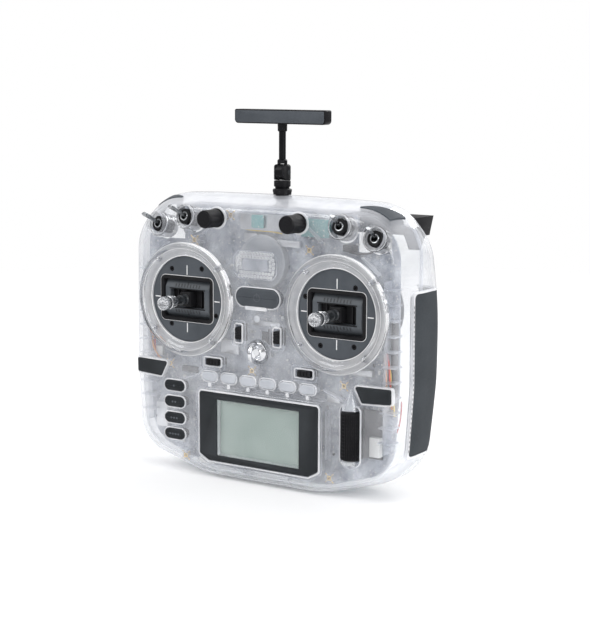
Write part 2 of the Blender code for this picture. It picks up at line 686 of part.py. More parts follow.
def scroll_roller():
    low, high = ROLLER_Z
    radius, axle = ROLLER_RADIUS, 0.0015
    profile = ((0.0, high + 0.0045), (axle, high + 0.0045), (axle, high), (radius - 0.0005, high),
               (radius, high - 0.0005), (radius, low + 0.0005), (radius - 0.0005, low), (axle, low),
               (axle, low - 0.0045), (0.0, low - 0.0045))
    made = turned("scroll_roller", profile, at(ROLLER_X, 0.0, ROLLER_DEPTH), UP, steps=24)
    as_part(made, BLACK)


def roller_bracket():
    """The U frame behind the roller, with a bearing ear at each end of its axle."""
    low, high = ROLLER_Z
    x = (ROLLER_X - 0.0045, ROLLER_X + 0.0045)
    ear = 0.0030
    outline = [(-0.0016, low - ear - GAP), (0.0105, low - ear - GAP), (0.0105, high + ear + GAP),
               (-0.0016, high + ear + GAP), (-0.0016, high + GAP), (0.0085, high + GAP),
               (0.0085, low - GAP), (-0.0016, low - GAP)]
    bracket = prism("roller_bracket", [(FACE_Y + depth, z) for depth, z in outline], *x, axis="X")
    bore = prism("axle_bore", circle(0.0015 + GAP, (ROLLER_X, FACE_Y + ROLLER_DEPTH), 14),
                 low - 0.01, high + 0.01, "Z")
    boolean(bracket, as_cutter(bore))
    as_part(bracket, STEEL)


def strap_hook():
    """A polished neck-strap loop on a round base."""
    base_profile = ((0.0, -0.0022), (HOOK_BASE - 0.0006, -0.0022), (HOOK_BASE, -0.0028), (HOOK_BASE, -0.0052),
                    (0.0, -0.0052))
    base = solid_turned("strap_hook", base_profile, at(0.0, HOOK_Z, 0.0))
    bpy.ops.mesh.primitive_torus_add(
        major_radius=HOOK_RING, minor_radius=HOOK_WIRE, major_segments=24, minor_segments=10,
        location=at(0.0, HOOK_Z, -0.0035), rotation=(0.0, math.radians(90), 0.0))
    loop = bpy.context.object
    loop.name = "hook_loop"
    boolean(base, as_cutter(loop), "UNION")
    as_part(base, STEEL)


def screen():
    width, height, middle = SCREEN
    opening = rectangle(width, height, (0.0, middle))
    bezel = prism("lcd_bezel", [list(BEZEL), opening], *depth_range(-0.0008, 0.0022))
    as_part(bezel, SLATE)
    panel = prism("lcd_panel", rectangle(*PANEL, (0.0, middle)), *depth_range(0.0025, 0.0065))
    as_part(panel, SCREEN_GREEN)


def antenna():
    centre = at(0.0, 0.0, ANTENNA_DEPTH)
    low, height, radius = ANTENNA_BASE_Z, ANTENNA_BASE_HEIGHT, ANTENNA_BASE_RADIUS
    bore, spigot = 0.0022, 0.0019
    base_profile = ((bore, low + height), (radius - 0.0008, low + height), (radius, low + height - 0.0008),
                    (radius, low), (0.0040, low), (0.0040, low - 0.0100), (bore, low - 0.0100))
    base = turned("antenna_base", base_profile, centre, UP, ring=True)
    as_part(base, BLACK)

    foot = low + height + GAP
    knuckle_profile = ((0.0, KNUCKLE_TOP), (FORK_RADIUS - 0.0004, KNUCKLE_TOP),
                       (FORK_RADIUS, KNUCKLE_TOP - 0.0004), (FORK_RADIUS, foot), (spigot, foot),
                       (spigot, low - 0.0090), (0.0, low - 0.0090))
    knuckle = solid_turned("antenna_knuckle", knuckle_profile, centre, UP)
    y, tongue_radius = centre.y, 0.0042
    arc = [math.radians(10 * step) for step in range(19)]
    tongue_outline = [(y - tongue_radius, KNUCKLE_TOP - 0.001), (y + tongue_radius, KNUCKLE_TOP - 0.001)]
    tongue_outline += [(y + tongue_radius * math.cos(turn), FOLD_Z + tongue_radius * math.sin(turn))
                       for turn in arc[::2] + arc[-1:]]
    tongue = prism("antenna_tongue", tongue_outline, -TONGUE_HALF, TONGUE_HALF, "X")
    boolean(knuckle, as_cutter(tongue), "UNION")
    as_part(knuckle, BLACK, origin=centre + UP * foot)

    top = FOLD_Z + FORK_RADIUS
    fork_outline = [(y + FORK_RADIUS, top), (y - FORK_RADIUS, top)]
    fork_outline += [(y - FORK_RADIUS * math.cos(turn), FOLD_Z - FORK_RADIUS * math.sin(turn))
                     for turn in arc[::2] + arc[-1:]]
    mast_profile = ((0.0, BAR_Z - GAP), (0.0032, BAR_Z - GAP), (0.0032, BAR_Z - 0.0055),
                    (MAST_RADIUS, BAR_Z - 0.0065), (MAST_RADIUS, top + 0.0065), (FORK_RADIUS - 0.0008, top),
                    (FORK_RADIUS - 0.0008, top - 0.0003), (0.0, top - 0.0003))
    mast = solid_turned("antenna_mast", mast_profile, centre, UP)
    fork = prism("antenna_fork", fork_outline, -FORK_RADIUS, FORK_RADIUS, "X")
    slot = rectangle(2 * (TONGUE_HALF + GAP), 0.040, (0.0, FOLD_Z + tongue_radius + GAP - 0.020))
    boolean(mast, as_cutter(fork), "UNION")
    boolean(mast, as_cutter(prism("fork_slot", slot, y - 0.02, y + 0.02)))
    as_part(mast, BLACK, origin=centre + UP * FOLD_Z, parent=knuckle)

    length, depth, tall = BAR
    outline = rectangle(length, tall, (0.0, BAR_Z + tall / 2), 0.0022, 2)
    bar = prism("antenna_bar", outline, y - depth / 2, y + depth / 2)
    as_part(bar, BLACK, 0.0006, 1, parent=mast)


def internals():
    """Main board, battery, loudspeaker and radio module, where they sit inside the case."""
    board = prism("main_board", rectangle(0.108, 0.066, (0.0, 0.047), 0.003, 2), *depth_range(0.0140, 0.0156))
    as_part(board, BOARD_GREEN)
    pack = rectangle(0.020, 0.040, (FACE_Y + 0.037, 0.0480), 0.0095, 4)
    as_part(prism("battery_pack", pack, -0.037, 0.037, "X"), WRAP_BLUE)
    cone = ((0.0, 0.0030), (0.0060, 0.0012), (0.0150, 0.0030), (0.0170, 0.0030), (0.0170, -0.0020),
            (0.0100, -0.0050), (0.0, -0.0050))
    as_part(turned("speaker", cone, at(-0.0015, 0.1400, 0.0100), steps=28), BLACK)
    module = prism("rf_module", rectangle(0.034, 0.010, (0.0, 0.1645)), *depth_range(0.0060, 0.0120))
    as_part(module, STEEL)


clear_scene()
PARTS = new_collection("radio_transmitter")
CUTTERS = new_collection("cutters")
GRIP_CUTTERS = grip_cutters()
ANTENNA_CUTTER = antenna_cutter()

battery_door, battery_opening = back_panel("battery_door", *BATTERY_DOOR, CLEAR)
module_cover, module_opening = back_panel("module_bay_cover", *MODULE_COVER, CLEAR)
rear_handle()
for side_name, side_sign in SIDES:
    side_grip(side_name, side_sign)
    shoulder_button(side_name, side_sign)
    page_button(side_name, side_sign)
    gimbal(side_name, side_sign)
    knob(side_name, side_sign)
    trim_tab(f"trim_vertical_{side_name}", TRIM_SIDE, side_sign)
    trim_tab(f"trim_horizontal_{side_name}", TRIM_LOW, side_sign)
    for toggle_kind in TOGGLES:
        toggle(toggle_kind, side_name, side_sign)
for key_name, key_outline in key_outlines().items():
    key(key_name, key_outline, CLEAR if key_name.startswith("preset") else SLATE)
scroll_roller()
roller_bracket()
strap_hook()
screen()
antenna()
internals()
front_shell()
rear_shell([battery_opening, module_opening])
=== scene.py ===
"""The looks of a hand-held radio transmitter in a clear case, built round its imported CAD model.

Metres, in the CAD frame: X to the viewer's right, Y into the case, Z up.
Depths count from the front face plane, and outlines on the face are in X and Z.
"""

import json
import math
import random

import bmesh
import bpy
from mathutils import Matrix, Vector

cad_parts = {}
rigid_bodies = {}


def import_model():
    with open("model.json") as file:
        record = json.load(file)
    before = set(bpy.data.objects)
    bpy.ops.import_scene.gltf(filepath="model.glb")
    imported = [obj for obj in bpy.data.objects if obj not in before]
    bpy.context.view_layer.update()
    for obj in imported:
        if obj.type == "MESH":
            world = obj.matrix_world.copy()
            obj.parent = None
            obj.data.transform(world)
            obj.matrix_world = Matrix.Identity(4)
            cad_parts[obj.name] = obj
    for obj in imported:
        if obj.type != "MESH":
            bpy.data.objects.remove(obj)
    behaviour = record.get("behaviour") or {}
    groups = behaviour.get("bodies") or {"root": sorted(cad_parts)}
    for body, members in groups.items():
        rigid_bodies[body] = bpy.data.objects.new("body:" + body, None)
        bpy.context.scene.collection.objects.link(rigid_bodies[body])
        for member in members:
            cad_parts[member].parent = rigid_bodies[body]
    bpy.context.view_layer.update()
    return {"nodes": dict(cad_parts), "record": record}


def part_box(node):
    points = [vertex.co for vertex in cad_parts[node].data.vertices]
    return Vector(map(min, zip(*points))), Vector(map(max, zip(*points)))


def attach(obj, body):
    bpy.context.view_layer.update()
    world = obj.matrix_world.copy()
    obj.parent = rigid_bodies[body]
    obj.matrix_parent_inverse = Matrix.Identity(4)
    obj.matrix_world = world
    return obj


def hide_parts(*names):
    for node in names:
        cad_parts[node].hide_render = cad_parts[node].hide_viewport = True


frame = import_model()

MM = 0.001
FORWARD = Vector((0.0, -1.0, 0.0))
BACKWARD = Vector((0.0, 1.0, 0.0))
UP = Vector((0.0, 0.0, 1.0))
RIGHT = Vector((1.0, 0.0, 0.0))
SIDES = (("left", -1.0), ("right", 1.0))

# The case, by the same rules as the CAD solids: corners of the right half outline from the base to the
# top, as x, z and fillet radius, at three depths.
SURROUND_RISE = 2.6 * MM
FACE_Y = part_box("front_shell")[0].y + SURROUND_RISE
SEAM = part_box("rear_shell")[0].y - FACE_Y
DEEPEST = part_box("rear_shell")[1].y - FACE_Y
DEEPEST_Z, SHALLOWEST = 0.100, 0.036
UPPER_CURVE, LOWER_CURVE = 4.0, 0.9
OUTLINE_DEPTHS = (0.0, 0.010, 0.025)
OUTLINE_CORNERS = (
    ((0.040, 0.003, 0.060), (0.044, 0.000, 0.060), (0.046, 0.000, 0.060)),
    ((0.0925, 0.017, 0.024), (0.0945, 0.015, 0.027), (0.0970, 0.013, 0.030)),
    ((0.0955, 0.070, 0.150), (0.0980, 0.070, 0.150), (0.1010, 0.070, 0.150)),
    ((0.0935, 0.170, 0.030), (0.0970, 0.1745, 0.031), (0.1010, 0.1775, 0.032)),
    ((0.050, 0.1720, 0.100), (0.050, 0.1768, 0.100), (0.050, 0.1795, 0.100)),
    ((0.0, 0.1730, 0.0), (0.0, 0.1775, 0.0), (0.0, 0.1800, 0.0)),
)
CORNER_SEGMENTS = (6, 12, 6, 14, 5)
RUN_PIECES = (3, 4, 8, 10, 5, 5)
EDGE_ROUND = 3.0 * MM
REAR_ROUND = 10.0 * MM
WALL = 2.2 * MM
GAP = 0.3 * MM
FAR = 0.2


def middle(node):
    low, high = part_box(node)
    return (low + high) / 2


def extent(node):
    low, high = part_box(node)
    return high - low


def at(x, z, depth):
    return Vector((x, FACE_Y + depth, z))


# Materials


class Look:
    """A node material under construction, with its object coordinates."""

    def __init__(self, name):
        self.material = bpy.data.materials.new(name)
        self.material.use_nodes = True
        self.tree = self.material.node_tree
        self.shader = self.tree.nodes["Principled BSDF"]
        self.output = self.tree.nodes["Material Output"]
        self.place = self.add("ShaderNodeTexCoord").outputs["Object"]

    def add(self, kind, settings=None, **inputs):
        """Adds a node. A value that is a socket is linked, and another value is set."""
        node = self.tree.nodes.new(kind)
        for name, value in (settings or {}).items():
            setattr(node, name, value)
        for name, value in inputs.items():
            socket = node.inputs[int(name[1:]) if name[0] == "_" else name.replace("_", " ")]
            self.put(socket, value)
        return node

    def put(self, socket, value):
        if isinstance(value, bpy.types.NodeSocket):
            self.tree.links.new(value, socket)
        else:
            socket.default_value = value

    def scaled(self, scale):
        return self.add("ShaderNodeMapping", Vector=self.place, Scale=scale).outputs[0]

    def noise(self, size, detail=2.0, stretch=None):
        """Noise whose features are about size metres across."""
        place = self.scaled(stretch) if stretch else self.place
        return self.add("ShaderNodeTexNoise", Vector=place, Scale=1.0 / size, Detail=detail).outputs["Fac"]

    def span(self, value, low, high, start=0.3, end=0.7):
        node = self.add("ShaderNodeMapRange", Value=value)
        self.put(node.inputs["From Min"], start)
        self.put(node.inputs["From Max"], end)
        self.put(node.inputs["To Min"], low)
        self.put(node.inputs["To Max"], high)
        return node.outputs[0]

    def blend(self, factor, first, second):
        node = self.add("ShaderNodeMix", {"data_type": "RGBA"})
        self.put(node.inputs[0], factor)
        for socket, value in ((node.inputs[6], first), (node.inputs[7], second)):
            self.put(socket, (*value, 1.0) if isinstance(value, tuple) else value)
        return node.outputs[2]

    def maths(self, operation, first, second):
        return self.add("ShaderNodeMath", {"operation": operation}, _0=first, _1=second).outputs[0]

    def bump(self, height, depth, strength=1.0, normal=None):
        node = self.add("ShaderNodeBump", Height=height, Distance=depth, Strength=strength)
        if normal is not None:
            self.put(node.inputs["Normal"], normal)
        return node.outputs[0]

    def finish(self, **sockets):
        for name, value in sockets.items():
            self.put(self.shader.inputs[name.replace("_", " ")], value)
        return self.material


def rgb(*values):
    return (*values, 1.0)


def moulded(name, dark, light, roughness, grain=0.35 * MM, relief=0.02 * MM, patch=14 * MM, coat=0.0,
            edge=0.25, shine=0.5):
    """Moulded plastic: patches between two tones, a fine spark-eroded grain, and edges rubbed lighter."""
    look = Look(name)
    fine = look.noise(grain, 3.0)
    drift = look.noise(patch, 3.0)
    tone = look.blend(look.span(drift, 0.0, 1.0), dark, light)
    worn = look.add("ShaderNodeNewGeometry").outputs["Pointiness"]
    rubbed = look.maths("MULTIPLY", look.span(worn, 0.0, edge, 0.52, 0.60), look.span(fine, 0.4, 1.0))
    lighter = tuple(min(3.0 * value + 0.05, 1.0) for value in light)
    tone = look.blend(rubbed, tone, lighter)
    rough = look.maths("ADD", look.span(fine, -0.06, 0.06),
                       look.span(drift, roughness - 0.05, roughness + 0.05))
    return look.finish(Base_Color=tone, Roughness=rough, Specular_IOR_Level=shine, Coat_Weight=coat,
                       Normal=look.bump(fine, relief, 0.6))


def brushed(name, dark, light, roughness, stretch=(1.0, 1.0, 1.0), grain=0.5 * MM, relief=0.006 * MM):
    """Metal with fine tool marks along one direction and faint smudges."""
    look = Look(name)
    marks = look.noise(grain, 3.0, stretch)
    smudge = look.noise(6 * MM, 3.0)
    tone = look.blend(look.span(marks, 0.0, 1.0), dark, light)
    rough = look.maths("ADD", look.span(marks, -0.03, 0.03), look.span(smudge, roughness, roughness + 0.10))
    return look.finish(Base_Color=tone, Roughness=rough, Metallic=1.0, Normal=look.bump(marks, relief, 0.5))


def spun_black():
    """The knobs' black metal: rings turned into the end face, which catch the light in two fans."""
    look = Look("spun_black")
    rings = look.add("ShaderNodeTexWave", {"wave_type": "RINGS", "rings_direction": "Y"},
                     Vector=look.place, Scale=900.0, Distortion=0.4).outputs["Fac"]
    dust = look.noise(0.4 * MM, 3.0)
    tone = look.blend(look.span(dust, 0.0, 1.0), (0.003, 0.003, 0.004), (0.012, 0.012, 0.014))
    return look.finish(Base_Color=tone, Roughness=look.span(dust, 0.30, 0.44), Specular_IOR_Level=0.16,
                       Normal=look.bump(rings, 0.02 * MM, 0.5))


def grip_rubber():
    """Soft dark grey rubber with a pebbled skin."""
    look = Look("grip_rubber")
    cells = look.add("ShaderNodeTexVoronoi", {"feature": "SMOOTH_F1"}, Vector=look.place,
                     Scale=1.0 / (0.9 * MM)).outputs["Distance"]
    fine = look.noise(0.25 * MM, 3.0)
    drift = look.noise(18 * MM, 3.0)
    tone = look.blend(look.span(drift, 0.0, 1.0), (0.027, 0.032, 0.037), (0.040, 0.046, 0.052))
    tone = look.blend(look.span(cells, 0.25, 0.0, 0.0, 0.5), tone, (0.072, 0.078, 0.085))
    rough = look.maths("ADD", look.span(fine, 0.58, 0.70), look.span(drift, -0.04, 0.04))
    normal = look.bump(fine, 0.02 * MM, 0.4, look.bump(cells, 0.06 * MM, 0.5))
    return look.finish(Base_Color=tone, Roughness=rough, Normal=normal, Specular_IOR_Level=0.22)


def clear_plastic(name, haze, edge, dark, light, mist=0.06, wave=0.05 * MM):
    """Clear polycarbonate: see-through head on, milky towards its edges, under a clean gloss."""
    look = Look(name)
    cloud = look.noise(16 * MM, 2.0)
    ripple = look.noise(9 * MM, 1.0)
    normal = look.bump(ripple, wave, 1.0)
    milk = look.blend(look.span(cloud, 0.0, 1.0), dark, light)
    look.put(look.shader.inputs["Base Color"], milk)
    look.put(look.shader.inputs["Roughness"], look.span(cloud, 0.28, 0.40))
    facing = look.add("ShaderNodeLayerWeight", Blend=0.45).outputs["Facing"]
    amount = look.span(look.maths("POWER", facing, 1.25), haze, edge, 0.0, 1.0)
    amount = look.maths("ADD", amount, look.span(cloud, -mist, mist))
    clear = look.add("ShaderNodeBsdfTransparent", Color=rgb(0.99, 0.993, 0.996))
    body = look.add("ShaderNodeMixShader", _0=amount, _1=clear.outputs[0], _2=look.shader.outputs[0])
    gloss = look.add("ShaderNodeBsdfGlossy", Color=rgb(1.0, 1.0, 1.0), Normal=normal)
    look.put(gloss.inputs["Roughness"], look.span(ripple, 0.05, 0.12))
    fresnel = look.add("ShaderNodeFresnel", IOR=1.46, Normal=normal)
    outside = look.maths("SUBTRACT", 1.0, look.add("ShaderNodeNewGeometry").outputs["Backfacing"])
    shine = look.maths("MULTIPLY", fresnel.outputs[0], outside)
    whole = look.add("ShaderNodeMixShader", _0=shine, _1=body.outputs[0], _2=gloss.outputs[0])
    look.put(look.output.inputs["Surface"], whole.outputs[0])
    return look.material


def solid_clear(name, tint, ior=1.48):
    """Thick clear plastic that bends what is seen through it."""
    look = Look(name)
    ripple = look.noise(5 * MM, 2.0)
    tone = look.blend(look.span(ripple, 0.0, 1.0), tint, (1.0, 1.0, 1.0))
    return look.finish(Base_Color=tone, Roughness=look.span(ripple, 0.01, 0.05), IOR=ior,
                       Transmission_Weight=1.0, Normal=look.bump(ripple, 0.03 * MM, 0.4))


def display():
    """A reflective liquid crystal display at rest: a faint grid of empty cells on grey green."""
    look = Look("display")
    flat = look.add("ShaderNodeMapping", Vector=look.place, Rotation=(math.radians(90), 0.0, 0.0))
    cells = look.add("ShaderNodeTexBrick", {"offset": 0.5}, Vector=flat.outputs[0], Scale=1.0,
                     Color1=rgb(1.0, 1.0, 1.0), Color2=rgb(0.96, 0.96, 0.96), Mortar=rgb(0.0, 0.0, 0.0))
    look.put(cells.inputs["Mortar Size"], 0.18 * MM)
    look.put(cells.inputs["Mortar Smooth"], 1.0)
    look.put(cells.inputs["Brick Width"], 9.4 * MM)
    look.put(cells.inputs["Row Height"], 4.4 * MM)
    drift = look.noise(30 * MM, 2.0)
    tone = look.blend(look.span(drift, 0.0, 1.0), (0.235, 0.305, 0.275), (0.290, 0.362, 0.328))
    tone = look.blend(look.span(cells.outputs["Fac"], 0.0, 0.10, 0.0, 1.0), tone, (0.14, 0.17, 0.16))
    fine = look.noise(0.2 * MM, 2.0)
    return look.finish(Base_Color=tone, Roughness=look.span(fine, 0.30, 0.42), Coat_Weight=0.5)


def circuit(name, base, trace, light, patch=9 * MM):
    """A circuit board: solder mask over a maze of traces, with a scatter of tinned pads."""
    look = Look(name)
    maze = look.add("ShaderNodeTexVoronoi", {"feature": "DISTANCE_TO_EDGE"}, Vector=look.place,
                    Scale=1.0 / (3.2 * MM)).outputs["Distance"]
    pads = look.add("ShaderNodeTexVoronoi", Vector=look.place, Scale=1.0 / (2.4 * MM)).outputs["Distance"]
    drift = look.noise(patch, 3.0)
    tone = look.blend(look.span(drift, 0.0, 1.0), base, light)
    tone = look.blend(look.span(maze, 0.75, 0.0, 0.02, 0.07), tone, trace)
    tone = look.blend(look.span(pads, 1.0, 0.0, 0.14, 0.20), tone, (0.74, 0.73, 0.70))
    return look.finish(Base_Color=tone, Roughness=look.span(drift, 0.26, 0.42),
                       Normal=look.bump(maze, 0.05 * MM, 0.4))


def paint(name, colour, roughness=0.4):
    """Printed or enamelled marks, slightly uneven; also used for rings painted on as highlights and for
    crosses painted as shade in screw recesses.
    """
    look = Look(name)
    fine = look.noise(0.5 * MM, 3.0)
    faded = tuple(0.86 * value for value in colour)
    tone = look.blend(look.span(fine, 0.0, 1.0), faded, colour)
    return look.finish(Base_Color=tone, Roughness=look.span(fine, roughness - 0.05, roughness + 0.1),
                       Normal=look.bump(fine, 0.01 * MM, 0.4))


SHELL = clear_plastic("clear_shell", 0.05, 0.72, (0.80, 0.82, 0.87), (0.92, 0.93, 0.96), mist=0.04)
REAR = clear_plastic("clear_rear", 0.05, 0.55, (0.80, 0.82, 0.86), (0.92, 0.93, 0.95), mist=0.02)
RIM = clear_plastic("clear_rim", 0.42, 0.95, (0.90, 0.91, 0.94), (0.98, 0.98, 0.99), wave=0.01 * MM)
FROST = clear_plastic("frosted_rib", 0.16, 0.70, (0.56, 0.59, 0.65), (0.80, 0.82, 0.87), mist=0.08)
GLASS = solid_clear("thick_clear", (0.965, 0.972, 0.980))
MILKY = moulded("milky_key", (0.40, 0.42, 0.455), (0.49, 0.51, 0.55), 0.34, relief=0.004 * MM, coat=0.3,
                edge=0.5)
SLATE = moulded("slate_plastic", (0.048, 0.055, 0.064), (0.066, 0.074, 0.084), 0.50, shine=0.22)
DARK_SLATE = moulded("dark_slate_plastic", (0.009, 0.011, 0.013), (0.016, 0.019, 0.022), 0.46, shine=0.2)
BLACK = moulded("black_plastic", (0.002, 0.002, 0.003), (0.007, 0.007, 0.008), 0.38, shine=0.12)
HANDLE_BLACK = moulded("handle_black", (0.003, 0.003, 0.004), (0.008, 0.008, 0.009), 0.52, relief=0.04 * MM,
                       shine=0.12)
SMOKE = moulded("smoke_plastic", (0.012, 0.014, 0.016), (0.030, 0.033, 0.037), 0.30, relief=0.005 * MM,
                coat=0.2,
                shine=0.3)
WINDOW_GREY = moulded("window_grey", (0.050, 0.057, 0.065), (0.070, 0.078, 0.087), 0.44, shine=0.25)
HOOD_GREY = moulded("smoked_clear", (0.16, 0.17, 0.19), (0.34, 0.36, 0.39), 0.30, relief=0.01 * MM, coat=0.4)
MID_GREY = moulded("mid_grey", (0.26, 0.28, 0.31), (0.36, 0.38, 0.41), 0.50, shine=0.3)
RUBBER = grip_rubber()
CHROME = brushed("polished_steel", (0.62, 0.63, 0.65), (0.80, 0.81, 0.83), 0.06)
STEEL = brushed("lever_steel", (0.24, 0.25, 0.26), (0.42, 0.43, 0.44), 0.16, (3.0, 1.0, 1.0))
ALUMINIUM = brushed("turned_aluminium", (0.42, 0.43, 0.45), (0.78, 0.79, 0.80), 0.14, (1.0, 6.0, 1.0))
GOLD = brushed("brass_insert", (0.72, 0.50, 0.20), (0.90, 0.68, 0.32), 0.28)
SPUN = spun_black()
DISPLAY = display()
# The white is print on the plates and also rings painted on as highlights; the dark is print and also crosses
# painted as shade in screw recesses.
WHITE_PRINT_AND_HIGHLIGHT = paint("white_print_and_highlight", (0.86, 0.86, 0.86))
DARK_PRINT_AND_SHADE = paint("dark_print_and_shade", (0.020, 0.021, 0.024), 0.5)
SILVER_BOARD = circuit("silver_board", (0.13, 0.15, 0.19), (0.34, 0.37, 0.43), (0.66, 0.69, 0.75), 10 * MM)
TEAL_BOARD = circuit("teal_board", (0.16, 0.36, 0.36), (0.30, 0.48, 0.47), (0.24, 0.42, 0.42))
SHIELD = brushed("shield_can", (0.55, 0.56, 0.58), (0.72, 0.73, 0.75), 0.30, (1.0, 1.0, 5.0))
CHIP = moulded("chip_black", (0.020, 0.020, 0.022), (0.036, 0.036, 0.040), 0.45)
PARTS_WHITE = moulded("nylon_white", (0.66, 0.66, 0.64), (0.80, 0.80, 0.78), 0.40)
WRAP = moulded("battery_wrap", (0.36, 0.40, 0.47), (0.46, 0.50, 0.57), 0.28, coat=0.4)
WIRE_LOOKS = tuple(paint(f"wire_{name}", colour, 0.35) for name, colour in (
    ("red", (0.62, 0.06, 0.04)), ("orange", (0.86, 0.34, 0.06)), ("yellow", (0.86, 0.62, 0.12)),
    ("black", (0.03, 0.03, 0.03))))


# Outlines on the face, anticlockwise


def rounded(width, height, centre=(0.0, 0.0), radius=1 * MM, segments=6):
    corners = ((1, -1, -90), (1, 1, 0), (-1, 1, 90), (-1, -1, 180))
    points = []
    for across, up, start in corners:
        hub = (centre[0] + across * (width / 2 - radius), centre[1] + up * (height / 2 - radius))
        for step in range(segments + 1):
            angle = math.radians(start + 90 * step / segments)
            points.append((hub[0] + radius * math.cos(angle), hub[1] + radius * math.sin(angle)))
    return points


def circle(radius, centre=(0.0, 0.0), steps=64, flatten=1.0):
    turns = [2 * math.pi * step / steps for step in range(steps)]
    return [(centre[0] + radius * math.cos(turn), centre[1] + flatten * radius * math.sin(turn))
            for turn in turns]


def stadium(width, height, centre=(0.0, 0.0)):
    return rounded(width, height, centre, height / 2 - 0.01 * MM, 12)


def softened(corners, radius, segments=4):
    """A convex outline with each corner rounded."""
    points = []
    for before, corner, after in zip(corners[-1:] + corners[:-1], corners, corners[1:] + corners[:1]):
        points += [tuple(point) for point in fillet(before, corner, after, radius, segments)]
    return points


def offset(points, by):
    """A convex outline moved outwards."""
    moved = []
    for before, point, after in zip(points[-1:] + points[:-1], points, points[1:] + points[:1]):
        ways = [(Vector(point) - Vector(before)).normalized(), (Vector(after) - Vector(point)).normalized()]
        normals = [Vector((way.y, -way.x)) for way in ways]
        bisector = (normals[0] + normals[1]).normalized()
        moved.append(tuple(Vector(point) + bisector * by / max(bisector.dot(normals[0]), 0.5)))
    return moved


def mirrored(points, side):
    return [(side * x, z) for x, z in (points if side > 0 else reversed(points))]


def fillet(before, corner, after, radius, segments):
    """Points of the arc that rounds one corner."""
    corner = Vector(corner)
    back, ahead = (Vector(before) - corner).normalized(), (Vector(after) - corner).normalized()
    half = back.angle(ahead) / 2
    reach = radius / math.tan(half)
    hub = corner + (back + ahead).normalized() * radius / math.sin(half)
    first, last = corner + back * reach - hub, corner + ahead * reach - hub
    sweep = first.angle(last)
    points = []
    for step in range(segments + 1):
        share = step / segments
        mix = (first * math.sin((1 - share) * sweep) + last * math.sin(share * sweep)) / math.sin(sweep)
        points.append(hub + mix)
    return points


# Building pieces


def skin(loops, ring=False, form=None):
    """Faces between closed loops of points, with flat ends, or with the last loop joined to the first."""
    form = form or bmesh.new()
    rows = [[form.verts.new(point) for point in loop] for loop in loops]
    pairs = list(zip(rows, rows[1:])) + ([(rows[-1], rows[0])] if ring else [])
    for lower, upper in pairs:
        for step in range(len(lower)):
            after = (step + 1) % len(lower)
            form.faces.new((lower[step], lower[after], upper[after], upper[step]))
    if not ring:
        form.faces.new(rows[0])
        form.faces.new(rows[-1])
    return form


def moulding(outline, section, ring=False, form=None):
    """An outline on the face given a section: offset and depth pairs from one end to the other."""
    loops = [[at(x, z, depth) for x, z in offset(outline, by)] for by, depth in section]
    return skin(loops, ring, form)


def slab(outline, low, high, form=None):
    """An outline on the face run between two depths."""
    return skin([[at(x, z, depth) for x, z in outline] for depth in (low, high)], form=form)


def facing(place, direction):
    turn = UP.rotation_difference(Vector(direction).normalized())
    return Matrix.Translation(place) @ turn.to_matrix().to_4x4()


def lathe(profile, place, direction=FORWARD, steps=48, ring=False, ribs=0.0, ribbed=(), form=None):
    """A turned piece from radius and height pairs. The profile numbers in ribbed get ribs of that depth."""
    turn = facing(place, direction)
    loops = []
    for number, (radius, height) in enumerate(profile):
        loop = []
        for step in range(steps):
            cut = ribs if number in ribbed and step % 4 in (2, 3) else 0.0
            angle = 2 * math.pi * step / steps
            reach = radius - cut
            loop.append(turn @ Vector((reach * math.cos(angle), reach * math.sin(angle), height)))
        loops.append(loop)
    return skin(loops, ring, form)


def block(size, place, direction=FORWARD, roll=0.0, form=None, bevel=0.0):
    """A box of width, height and thickness, its thickness along a direction."""
    made = bmesh.new()
    bmesh.ops.create_cube(made, size=1.0)
    bmesh.ops.scale(made, vec=size, verts=made.verts)
    if bevel:
        bmesh.ops.bevel(made, geom=made.edges[:], offset=bevel, segments=2, profile=0.5, affect="EDGES")
    place = Matrix.Translation(place) @ frame_of(direction, roll)
    bmesh.ops.transform(made, matrix=place, verts=made.verts)
    return joined(form, made) if form else made


def frame_of(direction, roll=0.0):
    """Axes with Z along a direction and Y as near as can be to up, then turned about that direction."""
    way = Vector(direction).normalized()
    level = UP if abs(way.z) < 0.99 else BACKWARD
    across = level.cross(way).normalized()
    axes = Matrix((across, way.cross(across), way)).transposed().to_4x4()
    return axes @ Matrix.Rotation(math.radians(roll), 4, "Z")


def joined(form, extra):
    mesh = bpy.data.meshes.new("extra")
    extra.to_mesh(mesh)
    extra.free()
    form.from_mesh(mesh)
    bpy.data.meshes.remove(mesh)
    return form


def mesh_of(name, form):
    bmesh.ops.recalc_face_normals(form, faces=form.faces)
    mesh = bpy.data.meshes.new(name)
    form.to_mesh(mesh)
    form.free()
    return mesh


def piece(name, shape, look, body="case", stands_for=(), crease=35, origin=None):
    """Puts a shape in the scene with its finish, on its body."""
    mesh = shape if isinstance(shape, bpy.types.Mesh) else mesh_of(name, shape)
    mesh.name = name
    if origin is not None:
        mesh.transform(Matrix.Translation(-Vector(origin)))
    made = bpy.data.objects.new(name, mesh)
    bpy.context.scene.collection.objects.link(made)
    if origin is not None:
        made.location = origin
    mesh.shade_smooth()
    mesh.set_sharp_from_angle(angle=math.radians(crease))
    mesh.materials.clear()
    mesh.materials.append(look)
    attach(made, body)
    if stands_for:
        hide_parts(*stands_for)
    return made


def refinish(node, look):
    """Gives a CAD node that keeps its shape a better material."""
    for holder in frame["nodes"][node].material_slots:
        holder.material = look


